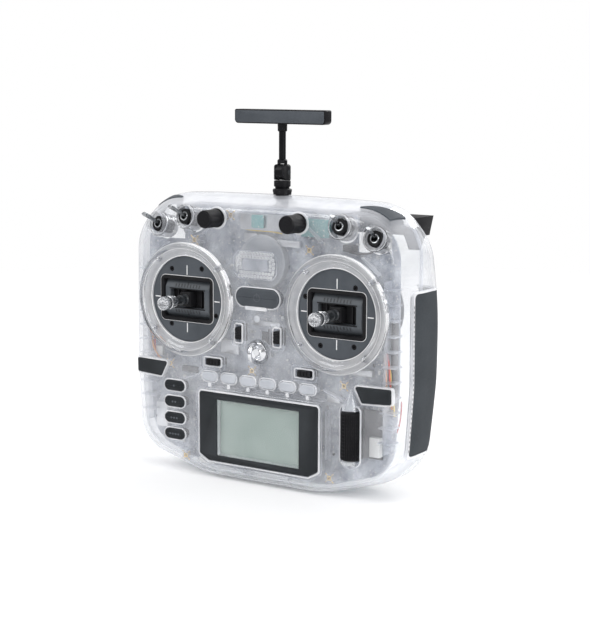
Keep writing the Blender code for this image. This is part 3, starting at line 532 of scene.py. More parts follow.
def carve(solid, cutters, operation="DIFFERENCE"):
    """The mesh of a shape after one Boolean with several others at once."""
    holder = bpy.data.collections.new("cutters")
    bpy.context.scene.collection.children.link(holder)
    things = []
    for number, shape in enumerate([solid] + cutters):
        mesh = shape if isinstance(shape, bpy.types.Mesh) else mesh_of(f"shape_{number}", shape)
        thing = bpy.data.objects.new(f"shape_{number}", mesh)
        (holder.objects if number else bpy.context.scene.collection.objects).link(thing)
        things.append(thing)
    step = things[0].modifiers.new("cut", "BOOLEAN")
    step.operation = operation
    step.operand_type = "COLLECTION"
    step.collection = holder
    bpy.context.view_layer.update()
    made = bpy.data.meshes.new_from_object(things[0].evaluated_get(bpy.context.evaluated_depsgraph_get()))
    for thing in things:
        mesh = thing.data
        bpy.data.objects.remove(thing, do_unlink=True)
        bpy.data.meshes.remove(mesh)
    bpy.data.collections.remove(holder)
    return made


def rounded_copy(node, width, segments=3, flat=1.0):
    """A CAD node's mesh with its edges rounded."""
    form = bmesh.new()
    form.from_mesh(frame["nodes"][node].data)
    bmesh.ops.remove_doubles(form, verts=form.verts, dist=0.01 * MM)
    bmesh.ops.dissolve_limit(form, angle_limit=math.radians(flat), verts=form.verts, edges=form.edges)
    sharp = [edge for edge in form.edges
             if len(edge.link_faces) == 2 and edge.calc_face_angle() > math.radians(35)]
    bmesh.ops.bevel(form, geom=sharp, offset=width, segments=segments, profile=0.5, affect="EDGES",
                    clamp_overlap=True)
    return form


# The case's form


def corners_at(depth):
    """The outline's corners at a depth: a parabola through those of the three known depths."""
    a, b, c = OUTLINE_DEPTHS
    depth = min(max(depth, a), c)
    weights = ((depth - b) * (depth - c) / ((a - b) * (a - c)),
               (depth - a) * (depth - c) / ((b - a) * (b - c)),
               (depth - a) * (depth - b) / ((c - a) * (c - b)))
    return [tuple(sum(weight * corner[axis] for weight, corner in zip(weights, known)) for axis in range(3))
            for known in OUTLINE_CORNERS]


def outline_at(depth):
    """The right half outline of the case at a depth, from the base's middle to the top's middle."""
    corners = corners_at(depth)
    places = [(0.0, corners[0][1])] + [corner[:2] for corner in corners]
    runs = [[Vector(places[0])]]
    for number, (corner, segments) in enumerate(zip(corners[:-1], CORNER_SEGMENTS)):
        runs.append(fillet(places[number], places[number + 1], places[number + 2], corner[2], segments))
    runs.append([Vector(places[-1])])
    points = runs[0]
    for run, pieces in zip(runs[1:], RUN_PIECES):
        points += [points[-1].lerp(run[0], step / pieces) for step in range(1, pieces)] + run
    return points


def inset_outline(points, inset):
    """Moves each point of the half outline inwards along its normal."""
    ends = [Vector((-points[1].x, points[1].y))] + points + [Vector((-points[-2].x, points[-2].y))]
    moved = []
    for before, point, after in zip(ends, ends[1:], ends[2:]):
        ways = [(point - before).normalized(), (after - point).normalized()]
        normals = [Vector((-way.y, way.x)) for way in ways]
        bisector = (normals[0] + normals[1]).normalized()
        moved.append(point + bisector * inset / bisector.dot(normals[0]))
    moved[0].x = moved[-1].x = 0.0
    return moved


def back_depth(z):
    """How deep the back of the case lies at a height."""
    curve = UPPER_CURVE if z > DEEPEST_Z else LOWER_CURVE
    return max(DEEPEST - curve * (z - DEEPEST_Z) ** 2, SHALLOWEST)


def case_rings(wall):
    """Rings of (x, depth, z) for the case, moved inwards by a wall: rounded edge, front sides, back."""
    rings = []
    for degrees in (0, 18, 36, 54, 72, 90):
        turn = math.radians(degrees)
        depth, inset = EDGE_ROUND * (1 - math.cos(turn)), EDGE_ROUND * (1 - math.sin(turn))
        rings.append((depth, inset, outline_at(depth)))
    rings += [(depth * MM, 0.0, outline_at(depth * MM)) for depth in (6, 10, 14, 18, 22)]
    made = []
    for depth, inset, outline in rings:
        near = depth + wall * max(1 - depth / 0.010, 0)
        made.append([(point.x, near, point.y) for point in inset_outline(outline, inset + wall)])
    seam = outline_at(SEAM)
    for share in (0.0, 0.25, 0.45, 0.58, 0.68, 0.76, 0.83, 0.89, 0.94, 0.975, 1.0):
        bend = max(share - 0.55, 0.0) / 0.45
        inset = REAR_ROUND * (1 - math.sqrt(max(1 - bend ** 2.2, 0.0)))
        depths = [SEAM + (back_depth(point.y) - SEAM) * share - wall * share ** 4 for point in seam]
        made.append([(point.x, depth, point.y)
                     for point, depth in zip(inset_outline(seam, inset + wall), depths)])
    return made


def case_solid(wall=0.0):
    """The case as one closed form: a loft with a flat front and a back of level strips."""
    form = bmesh.new()
    loops = []
    for ring in case_rings(wall):
        other_half = [(-x, depth, z) for x, depth, z in ring[-2:0:-1]]
        loops.append([form.verts.new((x, FACE_Y + depth, z)) for x, depth, z in ring + other_half])
    count, last = len(loops[0]), len(loops[0]) // 2
    for lower, upper in zip(loops, loops[1:]):
        for step in range(count):
            after = (step + 1) % count
            form.faces.new((lower[step], lower[after], upper[after], upper[step]))
    form.faces.new(loops[0])
    back = loops[-1]
    form.faces.new((back[0], back[1], back[-1]))
    form.faces.new((back[last - 1], back[last], back[last + 1]))
    for step in range(1, last - 1):
        form.faces.new((back[step], back[step + 1], back[count - step - 1], back[count - step]))
    return form


def case_x(depth, z):
    """How far out the right side wall of the case is at a depth and a height."""
    points = [point for point in outline_at(min(depth, SEAM)) if point.x > 0.06]
    for below, above in zip(points, points[1:]):
        if below.y <= z <= above.y:
            share = (z - below.y) / (above.y - below.y)
            return below.x + (above.x - below.x) * share
    return points[-1].x


def side_slab(outline, side, inner):
    """An outline in Y and Z run through one side of the case."""
    return skin([[Vector((x, y, z)) for y, z in outline] for x in (side * inner, side * FAR)])


def half_space(low, high):
    return slab(rounded(2 * FAR, 3 * FAR, radius=1 * MM, segments=1), low, high)


def drilled(radius, place, direction=FORWARD, reach=20 * MM, steps=48):
    return lathe(((radius, reach), (radius, -reach)), place, direction, steps)


# Case, grips and lids

GIMBALS = {name: middle(f"gimbal_plate_{name}") for name, _ in SIDES}
PLATE_RADIUS = extent("gimbal_plate_left").x / 2
PLATE_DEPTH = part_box("gimbal_plate_left")[0].y - FACE_Y
RING_OPENING = 35.0 * MM
PRESETS = [f"preset_button_{number + 1}" for number in range(6)]
MENUS = [f"menu_button_{number + 1}" for number in range(4)]
TRIMS = [f"trim_{way}_{name}" for way in ("vertical", "horizontal") for name, _ in SIDES]
JOINTS = {joint["name"]: joint for joint in frame["record"]["behaviour"]["joints"]}
TOGGLES = [f"{kind}_{name}" for kind in ("outer", "inner") for name, _ in SIDES]
TOGGLE_TILT, TOGGLE_THROW = 15, 15


def face_place(node):
    """The X and Z of a node's middle."""
    centre = middle(node)
    return centre.x, centre.z


def key_outline(node):
    size, centre = extent(node), face_place(node)
    if node in PRESETS:
        return rounded(1.14 * size.x, 0.95 * size.z, centre, 0.45 * size.z, 8)
    return stadium(size.x, size.z, centre)


def page_outline(side):
    """The page key's slanted outline, inside its node's box."""
    low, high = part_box("page_button_right")
    corners = [(low.x, high.z - 0.5 * MM), (low.x + 4.7 * MM, low.z), (high.x, low.z + 1.0 * MM),
               (high.x, high.z)]
    return mirrored(softened(corners, 0.8 * MM), side)


def bezel_outline():
    low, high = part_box("lcd_bezel")
    cut_x, cut_z = 6.8 * MM, 3.8 * MM
    corners = [(low.x, low.z + cut_z), (low.x + cut_x, low.z), (high.x - cut_x, low.z),
               (high.x, low.z + cut_z),
               (high.x, high.z), (low.x, high.z)]
    return softened(corners, 1.4 * MM)


SCREEN_MIDDLE = face_place("lcd_panel")
SCREEN_SIZE = (extent("lcd_panel").x - 6.0 * MM, extent("lcd_panel").z - 4.8 * MM)
ROLLER_X, ROLLER_Z = face_place("scroll_roller")
ROLLER_HALF = extent("roller_bracket").z / 2
HOOK = face_place("strap_hook")
HOOK_BASE = extent("strap_hook").z / 2


def toggle_frame(name):
    """Collar centre, bushing direction and lever direction of a toggle, from its joint."""
    joint = JOINTS[f"toggle_{name}"]
    upright = FORWARD.cross(Vector(joint["axis"]))

    def tilted(degrees):
        angle = math.radians(degrees)
        return FORWARD * math.cos(angle) + upright * math.sin(angle)

    return Vector(joint["pos_m"]), tilted(TOGGLE_TILT), tilted(TOGGLE_TILT + TOGGLE_THROW)


def trim_window(node):
    """Width and height of a trim tab's slot, with room for its travel."""
    size = extent(node)
    slide = 3.6 * MM
    return (size.x + 0.8 * MM, size.z + slide) if "vertical" in node else (size.x + slide, size.z + 0.8 * MM)


def grip_outline(clearance):
    low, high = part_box("grip_right")
    near, far = low.y - clearance, FACE_Y + DEEPEST + 10 * MM
    return rounded(far - near, high.z - low.z + 2 * clearance, ((near + far) / 2, (low.z + high.z) / 2),
                   3 * MM)


GRIP_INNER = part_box("grip_right")[0].x


def shoulder_outline(side, clearance):
    low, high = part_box("shoulder_button_right")
    corners = [(low.x, low.y), (high.x - 4.4 * MM, low.y + 0.8 * MM), (high.x, high.y),
               (low.x + 7.2 * MM, low.y + 3.8 * MM)]
    return mirrored(offset(softened(corners, 0.5 * MM), clearance), side)


def shoulder_column(side, clearance, low=0.150, high=0.195):
    return skin([[Vector((x, y, z)) for x, y in shoulder_outline(side, clearance)] for z in (low, high)])


def grip_holes():
    return [side_slab(grip_outline(GAP), side, GRIP_INNER - GAP) for _, side in SIDES]


def antenna_hole():
    place = middle("antenna_base")
    return drilled(4.3 * MM, Vector((place.x, place.y, 0.180)), UP)


def front_shell():
    cutters = [case_solid(WALL), half_space(SEAM - 0.2 * MM, FAR), antenna_hole()] + grip_holes()
    for name, side in SIDES:
        centre = GIMBALS[name]
        cutters.append(slab(circle(RING_OPENING, (centre.x, centre.z), 96), -6 * MM, 9 * MM))
        cutters.append(slab(circle(3.6 * MM, face_place(f"knob_{name}"), 32), -6 * MM, 9 * MM))
        cutters.append(slab(offset(page_outline(side), 0.35 * MM), -6 * MM, 8 * MM))
        cutters.append(shoulder_column(side, 0.35 * MM))
    for name in TOGGLES:
        place, bushing, _ = toggle_frame(name)
        cutters.append(drilled(7.0 * MM, place, bushing))
    for node in TRIMS:
        cutters.append(slab(rounded(*trim_window(node), face_place(node), 0.5 * MM, 3), -6 * MM, 9 * MM))
    for node in ["power_button"] + PRESETS + MENUS:
        cutters.append(slab(offset(key_outline(node), 0.35 * MM), -6 * MM, 9 * MM))
    cutters.append(slab(offset(bezel_outline(), 0.35 * MM), -6 * MM, 9 * MM))
    slot = rounded(13.6 * MM, 2 * ROLLER_HALF + 0.8 * MM, (ROLLER_X, ROLLER_Z), 2 * MM)
    cutters.append(slab(slot, -6 * MM, 9 * MM))
    cutters.append(slab(circle(HOOK_BASE + 0.5 * MM, HOOK, 48), -6 * MM, 9 * MM))
    piece("front_shell_clear", carve(case_solid(), cutters), SHELL,
          stands_for=["front_shell"], crease=28)


def lid_outline(node, clearance=0.0):
    size, centre = extent(node), face_place(node)
    return rounded(size.x + 2 * clearance, size.z + 2 * clearance, centre, 6 * MM + clearance, 8)


LID_DEPTHS = (SEAM + 6 * MM, DEEPEST + 10 * MM)


def rear_shell():
    cutters = [case_solid(WALL), half_space(-FAR, SEAM + 0.2 * MM), antenna_hole()] + grip_holes()
    cutters += [slab(lid_outline(node, GAP), *LID_DEPTHS) for node in ("battery_door", "module_bay_cover")]
    piece("rear_shell_clear", carve(case_solid(), cutters), REAR,
          stands_for=["rear_shell"], crease=28)


def lid(node, ridges, ridge_width):
    """A lift-off lid with a row of finger ridges."""
    inside = case_solid(WALL)
    panel = carve(carve(case_solid(), [slab(lid_outline(node), *LID_DEPTHS)], "INTERSECT"), [inside])
    piece(f"{node}_panel", panel, REAR, node, [node], 28)
    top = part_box(node)[1].z
    form = bmesh.new()
    for number in range(ridges):
        z = top - (6.0 + 2.2 * number) * MM
        block((ridge_width, 1.1 * MM, 1.2 * MM), at(0.0, z, back_depth(z) + 0.1 * MM), BACKWARD, form=form,
              bevel=0.4 * MM)
    piece(f"{node}_ridges", form, RIM, node)


def parting_gasket():
    """The grey tongue that shows in the parting line."""
    loops = []
    for depth, inset in ((-0.9, 1.9), (-0.9, 0.45), (0.9, 0.45), (0.9, 1.9)):
        half = inset_outline(outline_at(SEAM), inset * MM)
        whole = half + [Vector((-point.x, point.y)) for point in half[-2:0:-1]]
        loops.append([at(point.x, point.y, SEAM + depth * MM) for point in whole])
    ring = mesh_of("gasket", skin(loops, ring=True))
    piece("parting_tongue", carve(ring, grip_holes()), FROST)


def side_grip(name, side):
    grip = carve(case_solid(-0.1 * MM), [side_slab(grip_outline(0.0), side, GRIP_INNER)], "INTERSECT")
    piece(f"grip_{name}_rubber", carve(grip, [case_solid(3 * MM)]), RUBBER,
          stands_for=[f"grip_{name}"], crease=28)
    lip = carve(case_solid(-0.35 * MM), [side_slab(grip_outline(1.5 * MM), side, GRIP_INNER - 2 * MM)],
                "INTERSECT")
    lip = carve(lip, [case_solid(1.4 * MM), side_slab(grip_outline(0.2 * MM), side, GRIP_INNER - 4 * MM)])
    piece(f"grip_lip_{name}", lip, RIM, crease=28)
    low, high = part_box("grip_right")
    dashes, pitch, depth = bmesh.new(), 2.9 * MM, low.y - FACE_Y - 0.85 * MM
    for number in range(int((high.z - low.z - 6 * MM) / pitch)):
        z = low.z + 4 * MM + pitch * number
        place = at(side * (case_x(depth, z) + 0.32 * MM), z, depth)
        block((0.34 * MM, 1.5 * MM, 0.3 * MM), place, RIGHT * side, form=dashes)
    piece(f"grip_dashes_{name}", dashes, DARK_PRINT_AND_SHADE)


def shoulder_button(name, side):
    node = f"shoulder_button_{name}"
    key = carve(case_solid(-0.5 * MM), [shoulder_column(side, 0.0)], "INTERSECT")
    piece(f"{node}_cap", carve(key, [case_solid(4 * MM)]), SLATE, node, [node], 28)


def rear_handle():
    low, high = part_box("rear_handle")
    handle = rounded_copy("rear_handle", 1.6 * MM)
    for corner in handle.verts:
        if corner.co.y > high.y - 14 * MM:
            corner.co.y -= 0.42 * (high.z - corner.co.z)
    piece("rear_handle_moulded", handle, HANDLE_BLACK, stands_for=["rear_handle"],
          crease=40)
    ribs = bmesh.new()
    for number in range(34):
        x = (number - 16.5) * 3.6 * MM
        place = Vector((x, high.y - 1.9 * MM, (low.z + high.z) / 2 + 1 * MM))
        if abs(x) < high.x - 12 * MM:
            block((1.3 * MM, 6.5 * MM, 0.5 * MM), place, BACKWARD, form=ribs, bevel=0.2 * MM)
    piece("handle_ribs", ribs, HANDLE_BLACK)


def case_screws():
    """Cross-head screws in raised bosses on the back."""
    bosses, screws, recess_shade = bmesh.new(), bmesh.new(), bmesh.new()
    for x, z in ((66, 146), (66, 24), (0, 162), (0, 90), (38, 10)):
        for side in ((1, -1) if x else (1,)):
            place = at(side * x * MM, z * MM, back_depth(z * MM) - (1.4 * MM if x == 66 else 0.2 * MM))
            lathe(((4.2 * MM, -1.0 * MM), (4.2 * MM, 0.7 * MM), (3.6 * MM, 1.1 * MM), (2.9 * MM, 1.1 * MM),
                   (2.9 * MM, -1.0 * MM)), place, BACKWARD, 32, ring=True, form=bosses)
            lathe(((2.5 * MM, -1.0 * MM), (2.5 * MM, 0.2 * MM), (1.9 * MM, 0.6 * MM), (0.4 * MM, 0.7 * MM)),
                  place, BACKWARD, 28, form=screws)
            # Dark crosses on the screw heads: painted shade standing in for the cross recesses, which are not
            # modelled.
            for roll in (0, 90):
                block((2.6 * MM, 0.55 * MM, 0.12 * MM), place + BACKWARD * 0.68 * MM, BACKWARD, roll, recess_shade)
    piece("screw_bosses", bosses, RIM)
    piece("case_screws", screws, CHROME)
    piece("screw_recess_shade", recess_shade, DARK_PRINT_AND_SHADE)


# Sticks

SCREWS = ((123, 22.2), (60, 23.0), (-22, 24.2), (-127, 21.0))  # degrees and millimetres on the left plate
WINDOW = (38.4 * MM, 26.4 * MM, 2.2 * MM)
DRUM_FRONT, DRUM_RADIUS, DRUM_BACK = 16.2 * MM, 17.6 * MM, 12.9 * MM
DRUM_SLOT = (26.8 * MM, 11.6 * MM)


def surround(name):
    """The clear dished ring round a gimbal, with four clips, and white rings painted on as highlights at its
    inner edge, outer edge and inner slope.
    """
    centre = GIMBALS[name]
    place = at(centre.x, centre.z, 0.0)
    profile = [(radius * MM, height * MM) for radius, height in (
        (36.0, -2.0), (36.0, 0.5), (35.7, 1.3), (35.1, 2.1), (34.3, 2.55), (33.5, 2.5), (32.8, 2.0),
        (32.1, 1.2),
        (31.2, 0.3), (30.0, -0.4), (28.8, -0.7), (28.1, -1.0), (27.9, -1.5), (27.9, -2.1), (31.0, -2.2))]
    piece(f"surround_{name}", lathe(profile, place, steps=120, ring=True), GLASS,
          crease=50)
    floor = [(radius * MM, height * MM) for radius, height in (
        (27.6, -2.5), (27.6, -2.35), (31.5, -2.35), (34.8, -2.35), (34.8, -2.7), (27.6, -2.7))]
    piece(f"surround_floor_{name}", lathe(floor, place, steps=96, ring=True), RIM)
    # White rings painted on as highlights: the bright inner edge, the outer edge and a band on the inner
    # slope.
    edges = bmesh.new()
    for radius, height, wire in ((27.75, -1.25, 0.26), (36.05, 0.35, 0.16), (32.4, 1.75, 0.13)):
        ring = [((radius + wire * math.cos(turn)) * MM, (height + wire * math.sin(turn)) * MM)
                for turn in (math.tau * step / 10 for step in range(10))]
        lathe(ring, place, steps=120, ring=True, form=edges)
    piece(f"surround_painted_highlights_{name}", edges, WHITE_PRINT_AND_HIGHLIGHT)
    clips, pins = bmesh.new(), bmesh.new()
    for degrees in (40, 130, 220, 310):
        turn = math.radians(degrees)
        spot = place + 32.2 * MM * Vector((math.cos(turn), 0.0, math.sin(turn)))
        block((3.4 * MM, 2.6 * MM, 3.2 * MM), spot + FORWARD * 0.1 * MM, FORWARD, -degrees, clips, 0.5 * MM)
        lathe(((0.9 * MM, -1.0 * MM), (0.9 * MM, 1.9 * MM), (0.6 * MM, 2.1 * MM)), spot, form=pins, steps=20)
    piece(f"surround_clips_{name}", clips, FROST)
    piece(f"surround_pins_{name}", pins, ALUMINIUM)


def gimbal_plate(name, side):
    """The slate face plate: window frame, alignment ticks, four black screws and a white ring painted round
    the window frame as a highlight.
    """
    centre = GIMBALS[name]
    middle_point = (centre.x, centre.z)
    place = at(centre.x, centre.z, 0.0)
    front, back = -PLATE_DEPTH, -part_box(f"gimbal_plate_{name}")[1].y + FACE_Y
    disc = lathe(((PLATE_RADIUS, back), (PLATE_RADIUS, front - 0.3 * MM), (PLATE_RADIUS - 0.3 * MM, front)),
                 place, steps=96)
    cutters = [slab(rounded(*WINDOW[:2], middle_point, WINDOW[2]), 0.0, 12 * MM)]
    flip = 0 if side < 0 else 180
    spots = []
    for degrees, radius in SCREWS:
        turn = math.radians(degrees + flip)
        spots.append(place + radius * MM * Vector((math.cos(turn), 0.0, math.sin(turn))))
        cutters.append(drilled(1.75 * MM, spots[-1], reach=8 * MM, steps=28))
    piece(f"gimbal_face_{name}", carve(disc, cutters), SLATE,
          stands_for=[f"gimbal_plate_{name}"], crease=30)

    screws = bmesh.new()
    for spot in spots:
        lathe(((1.70 * MM, -4.0 * MM), (1.70 * MM, front - 0.4 * MM), (1.40 * MM, front - 0.2 * MM),
               (0.80 * MM, front - 0.2 * MM), (0.70 * MM, front - 0.9 * MM)), spot, steps=24, form=screws)
    piece(f"gimbal_screws_{name}", screws, BLACK)

    frame_section = [(by * MM, depth * MM) for by, depth in (
        (-1.3, 4.2), (-1.3, 2.1), (-0.9, 1.5), (0.9, 1.3), (1.3, 1.7), (1.3, 2.35), (0.1, 2.5), (0.1, 4.2))]
    window = rounded(*WINDOW[:2], middle_point, WINDOW[2])
    piece(f"gimbal_window_frame_{name}", moulding(window, frame_section, ring=True), BLACK)
    # A thin white ring just outside the window frame: a painted highlight for the frame's bevel. The ticks
    # below are printed marks.
    highlight_section = [(by * MM, depth * MM) for by,
                    depth in ((1.30, 2.25), (1.30, 1.95), (1.62, 1.95), (1.62, 2.25))]
    marks = moulding(window, highlight_section, ring=True)
    for degrees, near, far in ((90, 15.4, 21.4), (270, 15.4, 21.4), (0, 21.3, 25.4), (180, 21.3, 25.4)):
        turn = math.radians(degrees)
        spot = place + (near + far) / 2 * MM * Vector((math.cos(turn), 0.0, math.sin(turn)))
        block(((far - near) * MM, 0.62 * MM, 0.12 * MM), spot + BACKWARD * PLATE_DEPTH, FORWARD,
              degrees, marks)
    piece(f"gimbal_marks_and_highlight_{name}", marks, WHITE_PRINT_AND_HIGHLIGHT)


def drum_point(pivot, degrees, x, radius):
    """A point on a gimbal drum, at an angle up from straight ahead."""
    angle = math.radians(degrees)
    return Vector((x, pivot.y - radius * math.cos(angle), pivot.z + radius * math.sin(angle)))


def drum_reach(degrees):
    """Drum radius at an angle from straight ahead: a face that is flat in the middle, on a smaller drum."""
    angle = abs(math.radians(degrees))
    return min(DRUM_FRONT / math.cos(angle), DRUM_RADIUS) if degrees < 47 else DRUM_BACK


def gimbal_yoke(name):
    """The grooved drum behind the window, with its raised slot frame and graduations."""
    node = f"gimbal_yoke_{name}"
    pivot = Vector(JOINTS[f"stick_vertical_{name}"]["pos_m"])
    half = 17.6 * MM
    section = [(drum_reach(min(degrees, 360 - degrees)), degrees) for degrees in range(0, 360, 2)]
    loops = [[drum_point(pivot, degrees, pivot.x + x, radius - cut) for radius, degrees in section]
             for x,
             cut in ((-half, 0.5 * MM), (-half + 0.5 * MM, 0.0), (half - 0.5 * MM, 0.0), (half, 0.5 * MM))]
    slot = rounded(*DRUM_SLOT, (pivot.x, pivot.z), 1.2 * MM)
    drum = carve(skin(loops), [slab(slot, -10 * MM, 60 * MM)])
    piece(f"{node}_drum", drum, WINDOW_GREY, node, [node], 30)
    lip = bmesh.new()
    for side in (-1, 1):
        z = side * (DRUM_SLOT[1] / 2 + 0.35 * MM)
        spot = Vector((pivot.x, pivot.y - DRUM_FRONT, pivot.z + z))
        block((DRUM_SLOT[0] + 1.2 * MM, 0.7 * MM, 0.5 * MM), spot, form=lip, bevel=0.15 * MM)
    floor = rounded(DRUM_SLOT[0] + 0.4 * MM, DRUM_SLOT[1] + 0.4 * MM, (pivot.x, pivot.z), 1.2 * MM)
    slab(floor, 6.4 * MM, 7.2 * MM, lip)
    for across in (-9, 9):
        block((0.8 * MM, DRUM_SLOT[1], 1.4 * MM), at(pivot.x + across * MM, pivot.z, 5.8 * MM), form=lip)
    piece(f"{node}_slot_lip", lip, BLACK, node)
    lines = bmesh.new()
    for side in (-1, 1):
        for number in range(-4, 5):
            length = 3.6 if number == 0 else 2.2
            degrees = side * math.degrees(math.asin((7.0 + length / 2) * MM / DRUM_RADIUS))
            block((0.62 * MM, length * MM, 0.36 * MM),
                  drum_point(pivot, degrees, pivot.x + number * 2.3 * MM,
                             drum_reach(abs(degrees)) + 0.03 * MM),
                  drum_point(Vector(), degrees, 0.0, 1.0), form=lines)
    piece(f"{node}_graduations", lines, DARK_PRINT_AND_SHADE, node)


def stick(name):
    """The stick: a black boot in the drum's slot, a necked shaft and a grooved, crowned metal end."""
    body, shaft_node, end_node = f"stick_{name}", f"stick_shaft_{name}", f"stick_end_{name}"
    pivot = Vector(JOINTS[f"stick_vertical_{name}"]["pos_m"])
    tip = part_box(end_node)[0].y
    length = extent(end_node).y
    boot_section = [(by * MM, depth * MM) for by, depth in (
        (-0.6, 20.0), (0.0, 19.0), (0.0, 1.6), (-0.35, 0.4), (-1.2, 0.0))]
    boot = moulding(rounded(8.8 * MM, 9.6 * MM, (pivot.x, pivot.z), 1.0 * MM, 4), boot_section)
    piece(f"{shaft_node}_boot", boot, BLACK, body, crease=40)
    ahead = pivot.y - FACE_Y
    neck = [(radius * MM, height * MM + ahead) for radius, height in (
        (3.3, -1.0), (3.3, 0.9), (2.9, 1.4), (2.9, 4.0), (3.4, 4.3), (3.4, 5.3), (2.4, 5.6), (2.4, 9.0),
        (2.6, 9.4),
        (2.6, 10.5), (1.5, 10.7))]
    piece(f"{shaft_node}_neck", lathe(neck, pivot, steps=36), SMOKE, body, [shaft_node])

    base = Vector((pivot.x, tip + length, pivot.z))
    grip_radius = extent(end_node).x / 2
    rings = []
    for number in range(5):
        start = (0.4 + 1.25 * number) * MM
        size = grip_radius * (0.84 + 0.035 * number)
        rings += [(size - 0.5 * MM, start), (size, start + 0.2 * MM), (size, start + 0.75 * MM),
                  (size - 0.5 * MM, start + 0.95 * MM)]
    profile = rings + [(grip_radius - 0.2 * MM, length * 0.56), (grip_radius, length * 0.60),
                       (grip_radius, length - 1.0 * MM), (grip_radius - 0.35 * MM, length - 0.45 * MM),
                       (grip_radius - 1.0 * MM, length - 0.7 * MM), (1.2 * MM, length - 0.9 * MM),
                       (0.9 * MM, length - 1.6 * MM)]
    ribbed = (len(profile) - 6, len(profile) - 5)
    body_form = lathe(profile, base, steps=64, ribs=0.28 * MM, ribbed=ribbed)
    for number in range(10):
        turn = math.tau * number / 10
        out = Vector((math.cos(turn), 0.0, math.sin(turn)))
        spot = base + FORWARD * (length - 0.55 * MM) + out * (grip_radius - 1.45 * MM)
        block((1.9 * MM, 0.8 * MM, 0.9 * MM), spot, FORWARD, -math.degrees(turn), body_form, 0.2 * MM)
    piece(f"{end_node}_turned", body_form, ALUMINIUM, body, [end_node], 30)


def gimbal_housing(name):
    node, centre = f"gimbal_housing_{name}", GIMBALS[name]
    low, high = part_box(node)
    pivot = Vector(JOINTS[f"stick_vertical_{name}"]["pos_m"])
    radius = extent(node).x / 2
    cup = lathe(((radius, FACE_Y - high.y - 1.8 * MM), (radius, FACE_Y - low.y),
                 (radius - 1 * MM, FACE_Y - low.y)),
                at(centre.x, centre.z, 0.0), steps=72)
    bay = lathe(((18.6 * MM, -19.6 * MM), (18.6 * MM, 19.6 * MM)), pivot, RIGHT, 64)
    mouth = slab(rounded(*WINDOW[:2], (centre.x, centre.z), WINDOW[2]), 0.0, 14 * MM)
    piece(f"{node}_moulded", carve(cup, [bay, mouth]), SLATE, stands_for=[node],
          crease=30)
    pots = bmesh.new()
    for x, z, width, height in ((0, -22, 16, 6), (20, 12, 5, 14)):
        block((width * MM, height * MM, 9 * MM), at(centre.x + x * MM, centre.z + z * MM, 28 * MM), form=pots,
              bevel=0.6 * MM)
    piece(f"gimbal_sensors_{name}", pots, CHIP)


# Controls


def knob(name):
    node = f"knob_{name}"
    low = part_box(node)[0]
    x, z = face_place(node)
    radius, skirt = extent(node).x / 2 - 0.4 * MM, extent(node).x / 2
    top = FACE_Y - low.y
    profile = ((skirt - 0.4 * MM, 0.75 * MM), (skirt, 1.0 * MM), (skirt, 1.7 * MM),
               (radius - 0.3 * MM, 2.0 * MM),
               (radius, 2.3 * MM), (radius, top - 1.3 * MM), (radius - 0.15 * MM, top - 0.9 * MM),
               (radius - 0.2 * MM, top - 0.5 * MM), (radius - 0.6 * MM, top), (radius - 1.0 * MM, top),
               (radius - 1.15 * MM, top - 0.15 * MM))
    shape = lathe(profile, at(x, z, 0.0), steps=160, ribs=0.22 * MM, ribbed=(4, 5))
    piece(f"{node}_turned", shape, SPUN, node, [node], 28, at(x, z, 0.0))
    collar = lathe(((5.4 * MM, 0.0), (7.0 * MM, 0.0), (7.0 * MM, 0.25 * MM), (6.6 * MM, 0.5 * MM),
                    (5.4 * MM, 0.5 * MM)),
                   at(x, z, 0.0), steps=64, ring=True)
    piece(f"{node}_seat", collar, RIM)


def toggle(name):
    """A toggle in its clear well: knurled black collar nut, bright inner ring, flat-tipped steel lever."""
    place, bushing, lever_way = toggle_frame(name)
    node, lever_node = f"toggle_body_{name}", f"toggle_lever_{name}"
    well = [(radius * MM, height * MM) for radius, height in (
        (6.9, -9.0), (6.9, 2.0), (7.3, 2.3), (7.9, 1.6), (7.9, 0.8), (7.4, 0.4), (7.4, -9.0))]
    piece(f"toggle_well_{name}", lathe(well, place, bushing, 56, ring=True), GLASS)
    rim = [((7.1 + 0.2 * math.cos(turn)) * MM, (2.1 + 0.2 * math.sin(turn)) * MM)
           for turn in (math.tau * step / 8 for step in range(8))]
    floor = lathe(rim, place, bushing, 56, ring=True)
    lathe(((6.8 * MM, -9.2 * MM), (6.8 * MM, -8.6 * MM)), place, bushing, 48, form=floor)
    piece(f"toggle_floor_{name}", floor, RIM)
    nut = [(radius * MM, height * MM) for radius, height in (
        (2.5, -5.0), (2.5, 2.6), (3.5, 3.0), (4.3, 2.9), (4.9, 2.3), (5.0, 1.6), (5.0, -2.4), (4.6, -3.0),
        (4.6, -8.4), (2.6, -8.4))]
    piece(f"{node}_nut", lathe(nut, place, bushing, 96, ring=True, ribs=0.25 * MM, ribbed=(5, 6)), BLACK,
          stands_for=[node], crease=30)
    sleeve = [(radius * MM, height * MM) for radius, height in (
        (1.9, -4.0), (1.9, 2.7), (2.2, 3.3), (2.6, 3.35), (2.9, 3.0), (2.9, -4.0))]
    piece(f"{node}_sleeve", lathe(sleeve, place, bushing, 48, ring=True), STEEL)

    length = (Vector(middle(lever_node)) - place).length * 2 + 1.0 * MM
    turn = facing(place, lever_way)
    across = turn.to_3x3().inverted() @ Vector(JOINTS[f"toggle_{name}"]["axis"])
    spin = Matrix.Rotation(math.atan2(across.y, across.x), 4, "Z")
    loops = []
    for height, width, thick in ((-1.5, 0.9, 0.9), (0.0, 1.25, 1.25), (4.0, 1.05, 1.05), (9.0, 1.25, 1.2),
                                 (12.5, 1.55, 1.35), (15.6, 1.75, 1.25), (16.6, 1.7, 1.0), (17.1, 1.4, 0.7)):
        reach = height * MM * length / (17.3 * MM)
        loops.append([turn @ spin @ Vector((x, y, reach)) for x,
                      y in circle(width * MM, steps=24, flatten=thick / width)])
    piece(f"{lever_node}_bat", skin(loops), STEEL, lever_node, [lever_node], 40)


